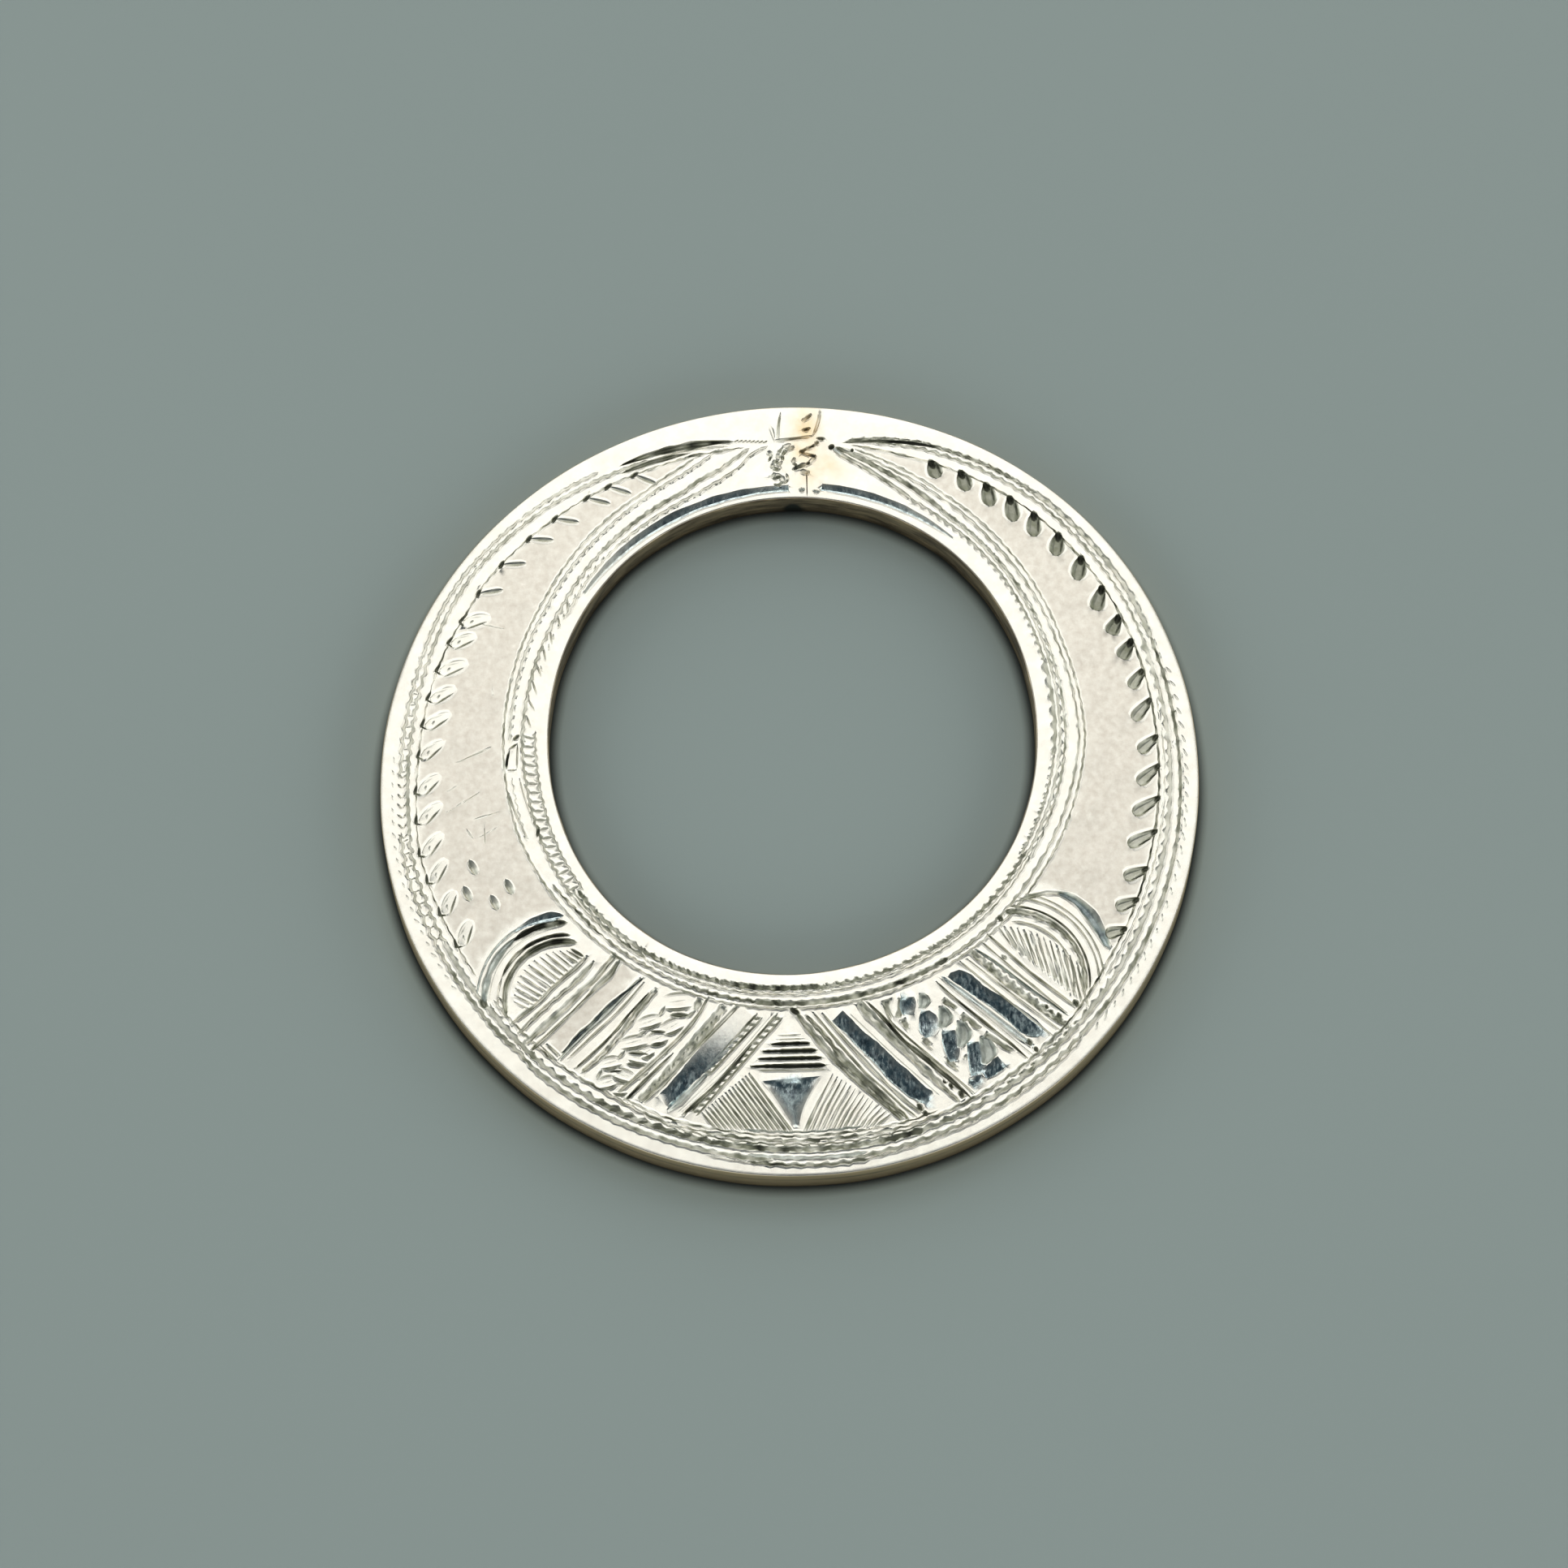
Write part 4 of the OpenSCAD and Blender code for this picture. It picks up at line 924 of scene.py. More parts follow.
trail([(4.2, -15.35, 0.7), (4.7, -15.85, 1), (5.2, -16.4, 1.1), (5.7, -17, 1.3), (6.1, -17.45, 1),
       (6.7, -17.95, 1.4), (7.5, -18.6, 1.6), (8.3, -19.3, 1.6), (9, -19.95, 1.3), (9.6, -20.5, 0.6)],
       0.18, 0.14, dull=1.3)
trail([(5.0, -15.45, 0.8), (5.35, -16.35, 1), (6.2, -17.15, 1), (7.0, -17.85, 1), (8.2, -18.9, 1),
       (9.75, -20.25, 0.8)], 0.13, 0.08, dull=0.9)
BAND_DOTS = ((8.3, -19.72, 0.2), (8.66, -19.95, 0.26), (9.22, -20.42, 0.36), (6.95, -21.15, 0.36),
             (7.25, -21.5, 0.28))
for dot_x, dot_y, size in BAND_DOTS:
    stroke(dot_x, dot_y, 1.5 * size, -60, size, 0.16, dull=1.5)

# Panel of white leaves left standing between dark blue cells and hollow grey ones.
GREY_CELLS = [
    ([(7.1, -14.7), (7.45, -14.95), (7.48, -15.25), (7.1, -15.62)],
     [(7.0, -14.75), (6.96, -15.2), (7.0, -15.62)]),
    ([(8.2, -15.45), (8.55, -15.7), (8.75, -16.1), (8.5, -16.5), (8.1, -16.72)],
     [(8.1, -15.45), (8.03, -15.9), (8.06, -16.72)]),
    ([(9.3, -16.25), (9.75, -16.9), (9.65, -17.3), (9.16, -17.83)],
     [(9.08, -16.3), (9.02, -17.0), (9.1, -17.83)]),
    ([(10.6, -17.1), (11.1, -17.9), (11.05, -18.3), (10.5, -18.78)],
     [(10.3, -17.15), (10.25, -17.8), (10.4, -18.78)])]
BLUE_CELLS = [
    ([(6.5, -14.95), (6.62, -15.4), (6.45, -16.0)], [(6.1, -14.98), (6.03, -15.5), (6.25, -16.0)]),
    ([(7.32, -15.75), (7.75, -16.05), (7.95, -16.75), (7.6, -17.2)],
     [(7.2, -15.75), (7.08, -16.2), (7.1, -16.9), (7.45, -17.25)]),
    ([(8.72, -16.85), (8.87, -17.1), (9.0, -18.0), (8.87, -18.6)],
     [(8.32, -16.9), (8.35, -17.5), (8.5, -18.05), (8.78, -18.6)]),
    ([(10.08, -17.48), (10.2, -17.8), (10.35, -18.5), (10.45, -19.0), (10.25, -19.35)],
     [(9.7, -17.5), (9.72, -18.2), (9.78, -18.8), (9.9, -19.35)]),
    ([(10.4, -19.25), (10.7, -18.97), (11.05, -18.6), (11.25, -18.47)],
     [(10.45, -19.42), (10.95, -19.25), (11.4, -18.9), (11.6, -18.7)]),
    ([(10.2, -19.42), (10.42, -19.6), (10.35, -19.92)],
     [(9.78, -19.45), (9.75, -19.75), (9.98, -19.95)])]
OLIVE_CELLS = [
    ([(5.45, -15.05), (5.27, -15.4), (5.37, -15.9), (5.55, -16.15)],
     [(4.85, -15.1), (5.12, -15.6), (5.48, -16.18)]),
    ([(5.92, -14.95), (6.0, -15.6), (5.87, -16.15)], [(5.8, -15.05), (5.83, -15.6), (5.65, -16.15)]),
    ([(6.15, -16.15), (6.3, -16.5), (6.35, -16.8)], [(5.85, -16.2), (6.05, -16.5), (6.3, -16.85)]),
    ([(7.2, -17.2), (7.5, -17.5), (7.6, -17.65)], [(7.08, -17.25), (7.2, -17.5), (7.5, -17.72)]),
    ([(8.5, -18.3), (8.8, -18.65), (8.95, -18.9)], [(8.38, -18.4), (8.45, -18.65), (8.85, -18.98)]),
    ([(8.3, -15.0), (8.7, -15.3), (9.0, -15.6)],
     [(8.15, -15.1), (8.45, -15.45), (8.65, -15.42), (8.95, -15.65)]),
    ([(9.3, -15.85), (9.8, -16.25), (10.3, -16.7)],
     [(9.2, -15.95), (9.35, -16.35), (9.6, -16.2), (9.85, -16.6), (10.3, -16.8)]),
    ([(10.6, -16.95), (11.3, -17.45), (12.05, -17.95)],
     [(10.35, -17.15), (10.65, -17.3), (11.0, -17.4), (11.5, -17.8), (12.0, -18.05)])]
for left_edge, right_edge in GREY_CELLS:
    cell(left_edge, right_edge, 0.16, lean=0.2, bowl=1.7, grow=0.1, dull=1.0, blue=0.3)
for left_edge, right_edge in BLUE_CELLS:
    cell(left_edge, right_edge, 0.22, lean=-0.95, flat=1.0, run=0.1, grow=0.17, dull=0.0, blue=1.0)
for left_edge, right_edge in OLIVE_CELLS:
    cell(left_edge, right_edge, 0.1, flat=1.8, grow=0.07, dull=1.1)
for wedge_x, wedge_y in ((7.35, -17.9), (8.75, -19.1)):
    stroke(wedge_x + 0.08, wedge_y + 0.17, 0.75, -42, 0.12, 0.07)
    stroke(wedge_x - 0.1, wedge_y - 0.17, 0.75, -42, 0.1, 0.06)
stroke(9.45, -18.35, 0.4, 80, 0.24, 0.05, bowl=2.0)

# Second dark band, its grooves and the chord of the lunette.
trail([(8.0, -14.2, 0.8), (8.6, -14.8, 1), (9.5, -15.55, 1), (10.75, -16.6, 1.3), (12, -17.65, 1.2),
       (12.7, -18.3, 0.7)], 0.13, 0.11, dull=1.4)
trail([(8.2, -14.0, 1), (10.6, -16.05, 1), (13.1, -18.2, 1)], 0.06, 0.02)
trail([(8.35, -13.95, 0.7), (9.3, -14.68, 1), (10.3, -15.45, 1), (11.3, -16.27, 1.1), (12.3, -17.1, 1.1),
       (13.0, -17.6, 0.8)], 0.24, 0.08, blue=0.6, dull=0.4)
cell(
    [(8.65, -13.62), (9.1, -13.45), (9.7, -13.65), (10.5, -14.4), (11.5, -15.0), (12.5, -15.65),
     (13.4, -16.35), (13.8, -16.78)],
    [(8.5, -13.8), (9.2, -14.3), (10.1, -14.98), (10.9, -15.5), (11.75, -16.22), (12.45, -16.92),
     (13.2, -17.2), (13.6, -17.12)],
    0.31, lean=-0.96, depths=(0.6, 1, 1, 1, 1, 1), run=0.3, flat=1.0, dull=0.0, blue=1.0)
trail([(9.3, -13.05, 0.8), (11.6, -15.0, 1), (14.1, -17.05, 0.9)], 0.11, 0.06)
trail([(9.7, -12.9, 0.8), (12.2, -14.95, 1), (14.5, -16.75, 0.9)], 0.11, 0.06)
trail([(9.9, -12.5, 0.8), (10.6, -13.1, 1), (11.5, -13.95, 1.1), (12.5, -14.75, 1.1), (13.5, -15.5, 1.1),
       (14.3, -16.1, 1), (15.0, -16.55, 0.7)], 0.32, 0.12, pitch=0.5, teeth=(0.12, 0.02), wave=0.08,
       dull=0.95)
trail([(10.15, -12.35, 0.9), (11, -12.9, 1.1), (12, -13.7, 0.9), (13, -14.5, 0.9), (14, -15.2, 0.8),
       (14.9, -15.9, 0.5)], 0.15, 0.12, blue=0.4, dull=1.2)
trail([(10.5, -11.95, 0.7), (12.5, -13.75, 1), (14.85, -15.75, 0.8)], 0.11, 0.07)
stroke(11.6, -12.7, 0.45, -40, 0.24, 0.08, dull=1.0)
trail([(10.8, -11.5, 0.7), (13.0, -13.55, 1), (15.35, -15.4, 0.9)], 0.15, 0.09, dull=0.9)
CHORD_DOTS = ((14.15, -15.8, 0.24), (14.58, -16.0, 0.28), (13.9, -15.5, 0.2), (12.95, -17.5, 0.34),
              (13.3, -17.9, 0.26), (15.5, -15.3, 0.36), (11.4, -10.5, 0.3))
for dot_x, dot_y, size in CHORD_DOTS:
    stroke(dot_x, dot_y, 1.5 * size, -60, size, 0.15, dull=1.4)

# Right lunette: fine arcs, a toothed one among them, round leaning hatch lines, and a broad outer arc that
# turns dark where it falls towards the outline.
RIGHT_LUNETTE = (12.0, -14.1)
lunette_arc(RIGHT_LUNETTE, 3.42, -12, 102, 0.13, (1, 1), 0.07)
lunette_arc(RIGHT_LUNETTE, 4.02, -10, 106, 0.26, (0.8, 1, 1, 1.2, 1), 0.12, teeth=(0.02, 0.16), wave=0.05,
            dull=1.0)
lunette_arc(RIGHT_LUNETTE, 4.28, -6, 98, 0.14, (1, 1), 0.1, dull=1.2)
lunette_arc(RIGHT_LUNETTE, 4.78, -2, 88, 0.12, (1, 1), 0.06)
lunette_arc(RIGHT_LUNETTE, 5.05, 4, 78, 0.1, (1, 1), 0.06)
trail([(12.3, -9.55, 0.7), (12.9, -9.3, 1), (14.0, -9.02, 1), (15.0, -9.1, 1)], 0.24, 0.08, reach=0.05,
       shake=0.2, dull=0.9)
trail([(14.6, -9.04, 0.6), (15.15, -9.2, 1), (15.75, -9.6, 1.1), (16.35, -10.3, 1.2), (16.9, -11.2, 1.1),
       (17.35, -12.2, 0.6)], 0.46, 0.2, reach=0.05, lean=-0.3, blue=0.7, dull=1.4)
for share in even_shares(13):
    top = (11.25 + 4.3 * share, -10.95 - 0.1 * share - 1.9 * share**2.2)
    foot_x = top[0] + 0.8 - 0.2 * share
    foot = (foot_x, -12.5 - 0.83 * (foot_x - 12.5))
    trail([(*top, 0.7), (*foot, 1.1)], 0.16, 0.06, reach=0.03, lean=0.3, shake=0.3, dull=0.65)

# Left field.
# The plain field above the left lunette was left smooth. Four almond punches stand alone in it, and wear has
# left a few light scratches across it, each given by its two ends.
for place_x, place_y in ((-17.5, -7.6), (-17.8, -9.1), (-15.5, -8.7), (-16.3, -9.6)):
    stroke(place_x, place_y, 1.0, -63, 0.42, 0.13, lean=-0.35, belly=0.55)
SCRATCHES = [
    (-18.52, -1.63, -16.56, -0.7), (-19.06, -4.51, -17.18, -3.3), (-17.54, -4.89, -16.11, -4.42),
    (-17.2, -5.9, -16.24, -5.35), (-17.9, -5.4, -17.5, -6.0), (-16.9, -5.2, -16.85, -6.3),
    (-16.55, 2.7, -16.5, 2.2), (-19.0, -3.3, -18.4, -2.9), (-17.2, 6.4, -15.9, 6.1)]
for scratch in SCRATCHES:
    groove(*scratch, 0.075, 0.025, step=0.2, shake=0.35, dull=0.75, lip=0.3)

# Net of the face.
# The engraved face is one net of triangles. The lines of all cuts and both edges are fixed in it, so that
# every cut is crisp, and a regular sprinkling of points fills the plain metal between them.
COLUMNS = 780
OPENING_RIM, OUTLINE_RIM = 0.12, 0.15
FILL_STEP = 0.4
FILL_X, FILL_Y = (-24, 24), (-27, 21)
FILL_ROW = 0.866
FILL_SHAKE = 0.05
FILL_MARGIN = 0.15
CLEAR_CELL = 0.12
CLEAR_HALF = 30
CLEAR_COUNT = 520

turns = np.linspace(0, 360, COLUMNS, endpoint=False)


def loop_on(centre, radius):
    """Closed ring of points, one for each column, at a radius about a centre."""
    angle = np.radians(turns)
    return np.stack([centre[0] + radius * np.cos(angle), centre[1] + radius * np.sin(angle)], -1)


opening_loop = loop_on(OPENING_CENTRE, opening_radius(turns))
outline_loop = loop_on(OUTLINE_CENTRE, outline_radius(turns))
opening_rim = loop_on(OPENING_CENTRE, opening_radius(turns) + OPENING_RIM)
outline_rim = loop_on(OUTLINE_CENTRE, outline_radius(turns) - OUTLINE_RIM)
closed = [(loop, False, True) for loop in (opening_loop, outline_loop, opening_rim, outline_rim)]
points, joins, crisp, total = [], [], [], 0
for line, is_crisp, is_closed in closed + [(line, is_crisp, False) for line, is_crisp in net_lines]:
    count = len(line)
    ties = np.stack([np.arange(count), np.arange(1, count + 1) % count], -1) + total
    ties = ties if is_closed else ties[:-1]
    points.append(line)
    joins.append(ties)
    crisp.append(np.full(len(ties), is_crisp))
    total += count
points, joins, crisp = np.concatenate(points), np.concatenate(joins), np.concatenate(crisp)


def edge_distances(at):
    """Distance in from the outline and out from the opening, with the angles about their two centres."""
    from_centre = at - np.array(OUTLINE_CENTRE)
    outer_angle = np.degrees(np.arctan2(from_centre[:, 1], from_centre[:, 0]))
    inner_angle = np.degrees(np.arctan2(at[:, 1], at[:, 0]))
    inwards = outline_radius(outer_angle) - np.hypot(*from_centre.T)
    return inwards, np.hypot(*at.T) - opening_radius(inner_angle), outer_angle, inner_angle


def inside_plate(at, margin=0.0):
    """True where a point lies between the opening and the outline by more than the margin."""
    inwards, outwards = edge_distances(at)[:2]
    return (inwards > margin) & (outwards > margin)


def clearing(at):
    """Column and row of the small square that each point lies in."""
    return tuple(np.floor((at + CLEAR_HALF) / CLEAR_CELL).astype(int).T)


fill_columns = np.arange(*FILL_X, FILL_STEP)
fill_rows = np.arange(*FILL_Y, FILL_STEP * FILL_ROW)
fill_x, fill_y = np.meshgrid(fill_columns, fill_rows)
fill_x = fill_x + FILL_STEP / 2 * (np.arange(len(fill_rows))[:, None] % 2)
fill = np.stack([fill_x.ravel(), fill_y.ravel()], -1)
fill = fill + rng.uniform(-FILL_SHAKE, FILL_SHAKE, (fill_x.size, 2))

# A sprinkled point stays only where no cut line passes through its square or one beside it.
taken = np.zeros((CLEAR_COUNT, CLEAR_COUNT), bool)
column, row = clearing(points)
for shift_x in (-1, 0, 1):
    for shift_y in (-1, 0, 1):
        taken[column + shift_x, row + shift_y] = True
fill = fill[inside_plate(fill, FILL_MARGIN)]
fill = fill[~taken[clearing(fill)]]

net_points, net_edges, net_faces, point_sources, edge_sources, _ = delaunay_2d_cdt(
    np.concatenate([points, fill]).tolist(), joins.tolist(), [], 0, 1e-4, True)
flat_points = np.array(net_points, float)
triangles = np.array(net_faces)
triangles = triangles[inside_plate(flat_points[triangles].mean(1))]

# Form of the face.
# The face is level but for slow hammer waves and the rounding that wear gives its edges on the seam's side.
# Each point of the net takes its height and its marks for the finish from the cuts that it lies in.
FACE_Z = 2.376
LIP_HEIGHT = 0.01
LIP_FULL_WIDTH = 0.15
BLUE_RISE = 4
TARNISH_RISE = 6.0
TARNISH_FULL_DEPTH = 0.05
WAVE_RIM = 0.7
WEAR_DEPTH = 0.03
WEAR_WIDTH = 0.3

# Film: how softly it ends at each border, where the ornament begins, and how far each lunette reaches.
TOOTH_FADE, FIELD_FADE = 0.3, 0.2
ORNAMENT_TOP, ORNAMENT_SLOPE, ORNAMENT_FADE = -11.2, 0.12, 0.8
LUNETTE_REACHES = ((LEFT_LUNETTE, 5.0), (RIGHT_LUNETTE, 5.7))
WIPED_BELOW = 0.01


def worn_down(degrees):
    """How far wear has rounded the face down at an edge: most where the edge faces the seam's side, none
    opposite, after the sine of its angle."""
    return WEAR_DEPTH * np.clip(0.3 + 1.2 * np.sin(np.radians(degrees)), 0, 1)


def hammered(x, y):
    """Slow waves: a product of two slanting sines, and a third, shorter one across them."""
    slow = 0.004 * np.sin(1.1 * x + 0.7 * y) * np.sin(0.5 * x - 1.3 * y + 1)
    return slow + 0.003 * np.sin(2.3 * x - 1.9 * y)


def face_form(at):
    """Height of the face, depth of the cuts, tarnish, nearness to a cut's lip and share of bright-cut facet
    with painted reflection.

    Each cut is a V in its own chart. The deepest one wins where two cross, and lips fall off in a straight
    line beside each edge. Tarnish and the share of painted reflection rise to full a short way down a cut's
    sides.
    """
    sunk, lips, bright_cut_painted_reflection, tarnish = np.zeros((4, len(at)))
    for chart, values, flat, bowl, lip, halo, low, high in cuts:
        near = np.flatnonzero((at >= low).all(1) & (at <= high).all(1))
        along, across = to_chart(chart, at[near])
        stations = values[0]
        keep = (along >= stations[0]) & (along <= stations[-1])
        near, along, across = near[keep], along[keep], across[keep]
        here = (np.interp(along, stations, row) for row in values[1:])
        middle, left, right, floor, depth, dull, blue = here
        across = across - middle
        from_left = (left - across) / np.maximum(left - floor, 1e-4)
        from_right = (across + right) / np.maximum(floor + right, 1e-4)
        share = 1 - (1 - np.clip(np.minimum(from_left, from_right) * flat, 0, 1)) ** bowl
        beyond = np.maximum(np.maximum(across - left, -right - across), 0)
        rising = lip * np.clip(1 - beyond / halo, 0, 1) * np.clip((left + right) / LIP_FULL_WIDTH, 0, 1)
        deeper = share * depth > sunk[near]
        bright_cut_painted_reflection[near[deeper]] = (blue * np.minimum(BLUE_RISE * share, 1))[deeper]
        sunk[near] = np.maximum(sunk[near], share * depth)
        held = dull * np.minimum(TARNISH_RISE * share, 1) * np.clip(depth / TARNISH_FULL_DEPTH, 0, 1)
        tarnish[near] = np.maximum(tarnish[near], held)
        lips[near] = np.maximum(lips[near], rising)
    inwards, outwards, outer_angle, inner_angle = edge_distances(at)
    waves = hammered(*at.T) * np.clip(np.minimum(inwards, outwards) / WAVE_RIM, 0, 1) ** 2
    worn = worn_down(outer_angle) * np.clip(1 - inwards / WEAR_WIDTH, 0, 1) ** 2
    worn = worn + worn_down(inner_angle + 180) * np.clip(1 - outwards / WEAR_WIDTH, 0, 1) ** 2
    height = FACE_Z + waves + LIP_HEIGHT * lips - sunk - worn
    return height, sunk, tarnish, lips, bright_cut_painted_reflection


def film_share(at):
    """Share of film: 1 on the plain fields between the tooth line and the field line and on the plain band,
    0 in the rest of the ornament and in the lunettes."""
    inwards, outwards, outer_angle, inner_angle = edge_distances(at)
    tooth_line = np.interp(np.mod(outer_angle - 90, 360) + 90, *TOOTH_LINE[1].T)
    field_line = np.interp(np.mod(inner_angle - 90, 360) + 90, *FIELD_LINE[1].T)
    share = np.clip((inwards - tooth_line) / TOOTH_FADE, 0, 1)
    share = share * np.clip((outwards - field_line) / FIELD_FADE, 0, 1)
    for (centre_x, centre_y), reach in LUNETTE_REACHES:
        distance = np.hypot(at[:, 0] - centre_x, at[:, 1] - centre_y)
        share = share * np.clip((distance - reach) / FIELD_FADE, 0, 1)
    ornament = (ORNAMENT_TOP - ORNAMENT_SLOPE * np.abs(at[:, 0]) - at[:, 1]) / ORNAMENT_FADE
    ornament = np.clip(ornament, 0, 1)
    along, across = to_chart(between(*PLAIN_BAND[0], *PLAIN_BAND[1])[0], at)
    on_band = (along > 0) & (along < PLAIN_BAND_LENGTH) & (np.abs(across) < PLAIN_BAND_HALF)
    return np.maximum(share * (1 - ornament), on_band)


height, sunk, tarnish, lips, bright_cut_painted_reflection = face_form(flat_points)
used = np.unique(triangles)
renumber = np.full(len(flat_points), -1)
renumber[used] = np.arange(len(used))
triangles = renumber[triangles]
face_points = np.column_stack([flat_points[used], height[used]])
film = film_share(flat_points) * np.clip(1 - sunk / WIPED_BELOW, 0, 1)
face_marks = np.column_stack([tarnish, lips, bright_cut_painted_reflection, film, *np.zeros((2, len(film)))])[used]

# Turn every triangle of the face upwards.
side_a = face_points[triangles[:, 1]] - face_points[triangles[:, 0]]
side_b = face_points[triangles[:, 2]] - face_points[triangles[:, 0]]
downwards = side_a[:, 0] * side_b[:, 1] - side_a[:, 1] * side_b[:, 0] < 0
triangles[downwards] = triangles[downwards][:, ::-1]

# Walls and back.
# The two walls of the plate are filed square with rounded, worn edges, and the plain back lies on the floor.
# Both are rings of points, joined by quads from the rim of the face down, across the back and up again.
MM = 0.001
EDGE_ROUND = 0.1
EDGE_DROP = 0.13
OUTLINE_BULGE = 0.07
TOP_TURNS = (12, 30, 50, 70, 90)
FOOT_TURNS = (90, 65, 25)
WALL_BEND = 1.8
BACK_SHARES = (0.0, 0.06, 0.94, 1.0)
RIM_SHARES = (0.25, 0.6)

quarter = np.radians(TOP_TURNS)
profile = [(EDGE_ROUND * np.sin(turn), FACE_Z - EDGE_DROP * (1 - np.cos(turn))) for turn in quarter]
profile += [(EDGE_ROUND, WALL_BEND)]
quarter = np.radians(FOOT_TURNS)
profile += [(EDGE_ROUND * np.sin(turn), EDGE_DROP - EDGE_DROP * np.cos(turn)) for turn in quarter]


def filed(angle):
    """Unevenness of a filed wall: a product of two sines of the angle and a short ripple."""
    return 0.012 * np.sin(9 * angle) * np.sin(4 * angle + 1) + 0.008 * np.sin(23 * angle + 2)


def level_ring(loop, z, lowered=0.0):
    """A loop of the plate at a height, lowered by an amount at each column."""
    return np.column_stack([loop, np.full(COLUMNS, z) - lowered])


rings = []
unevenness = filed(np.radians(turns))
for out, z in profile:
    radius = outline_radius(turns) + out / EDGE_ROUND * (OUTLINE_BULGE + unevenness)
    lowered = worn_down(turns) if z > WALL_BEND else 0.0
    rings.append(level_ring(loop_on(OUTLINE_CENTRE, radius), z, lowered))
for share in BACK_SHARES:
    rings.append(level_ring(outline_loop * (1 - share) + opening_loop * share, 0.0))
for out, z in profile[::-1]:
    radius = opening_radius(turns) - out / EDGE_ROUND * (EDGE_ROUND + unevenness)
    lowered = worn_down(turns + 180) if z > WALL_BEND else 0.0
    rings.append(level_ring(loop_on(OPENING_CENTRE, radius), z, lowered))
side_points = np.concatenate(rings)
side_count = len(rings)

# The points of both edges in the net begin and end the rings.
source_counts = np.array([len(ids) for ids in point_sources])
owners = np.repeat(np.arange(len(point_sources)), source_counts)
members = np.concatenate([np.array(ids, int) for ids in point_sources if len(ids)])
on_loop = members < 2 * COLUMNS
loop_ids = np.full(2 * COLUMNS, -1)
loop_ids[members[on_loop]] = renumber[owners[on_loop]]
opening_ids, outline_ids = loop_ids[:COLUMNS], loop_ids[COLUMNS:]
ring_ids = np.arange(side_count * COLUMNS).reshape(side_count, COLUMNS) + len(face_points)
ring_ids = np.vstack([outline_ids, ring_ids, opening_ids])
following = np.roll(ring_ids, -1, 1)
quads = np.stack([ring_ids[:-1], ring_ids[1:], following[1:], following[:-1]], -1).reshape(-1, 4)

wall_share = np.zeros(side_count)
wall_share[:len(profile)] = 1.0
wall_share[-len(profile):] = 1.0
wall_share[:2] = RIM_SHARES
wall_share[-2:] = RIM_SHARES[::-1]
side_marks = np.zeros((len(side_points), 6))
side_marks[:, 4] = np.repeat(wall_share, COLUMNS)
side_marks[-len(profile) * COLUMNS:, 5] = 1.0

vertices = np.concatenate([face_points, side_points]) * MM
marks = np.concatenate([face_marks, side_marks])
plate_mesh = bpy.data.meshes.new("ring_plate_engraved")
loop_totals = np.concatenate([np.full(len(triangles), 3), np.full(len(quads), 4)])
loop_vertices = np.concatenate([triangles.ravel(), quads.ravel()])
plate_mesh.vertices.add(len(vertices))
plate_mesh.vertices.foreach_set("co", vertices.astype(np.float32).ravel())
plate_mesh.loops.add(len(loop_vertices))
plate_mesh.loops.foreach_set("vertex_index", loop_vertices.astype(np.int32))
plate_mesh.polygons.add(len(loop_totals))
plate_mesh.polygons.foreach_set("loop_start", (np.cumsum(loop_totals) - loop_totals).astype(np.int32))
plate_mesh.update(calc_edges=True)
plate_mesh.validate()
plate_mesh.shade_smooth()

# Only the lines of the cuts are crisp: edges of the net are known by their two ends, packed in one number.
edge_counts = np.array([len(ids) for ids in edge_sources])
edge_owner = np.repeat(np.arange(len(edge_sources)), edge_counts)
edge_member = np.concatenate([np.array(ids, int) for ids in edge_sources if len(ids)])
known = edge_member < len(crisp)
edge_owner, edge_member = edge_owner[known], edge_member[known]
crisp_ends = renumber[np.array(net_edges)[edge_owner[crisp[edge_member]]]]
crisp_keys = crisp_ends.min(1) * len(vertices) + crisp_ends.max(1)
ends = np.empty(2 * len(plate_mesh.edges), np.int32)
plate_mesh.edges.foreach_get("vertices", ends)
ends = np.sort(ends.reshape(-1, 2).astype(np.int64), 1)
sharp = plate_mesh.attributes.new("sharp_edge", "BOOLEAN", "EDGE")
sharp.data.foreach_set("value", np.isin(ends[:, 0] * len(vertices) + ends[:, 1], crisp_keys))
for column, name in enumerate(("tarnish", "lip", "bright_cut_painted_reflection", "film", "wall", "inner_wall")):
    attribute = plate_mesh.attributes.new(name, "FLOAT", "POINT")
    attribute.data.foreach_set("value", marks[:, column].astype(np.float32))

ring_plate_engraved = bpy.data.objects.new("ring_plate_engraved", plate_mesh)
bpy.context.scene.collection.objects.link(ring_plate_engraved)
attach(ring_plate_engraved, "root")
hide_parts("ring_plate")

# Silver finish.
# Worn silver: burnished white on lips and rims, a faint warm film on the plain fields, olive tarnish in the
# cuts, a painted marbled slate reflection where a bright-cut facet mirrors the dark, and brown tarnish on
# the walls, darker low down, with painted shade along their foot.
POLISHED = (0.97, 0.95, 0.87, 1)
FIELD_FILM = (0.78, 0.72, 0.63, 1)
CUT_TARNISH = (0.42, 0.43, 0.32, 1)
DARK_TARNISH = (0.05, 0.052, 0.042, 1)
WALL_TARNISH = (0.8, 0.61, 0.38, 1)
# Dark colour of the walls, for their darkening low down and in streaks, and for the painted shade at their
# foot.
WALL_DARK_AND_FOOT_SHADE = (0.2, 0.14, 0.085, 1)
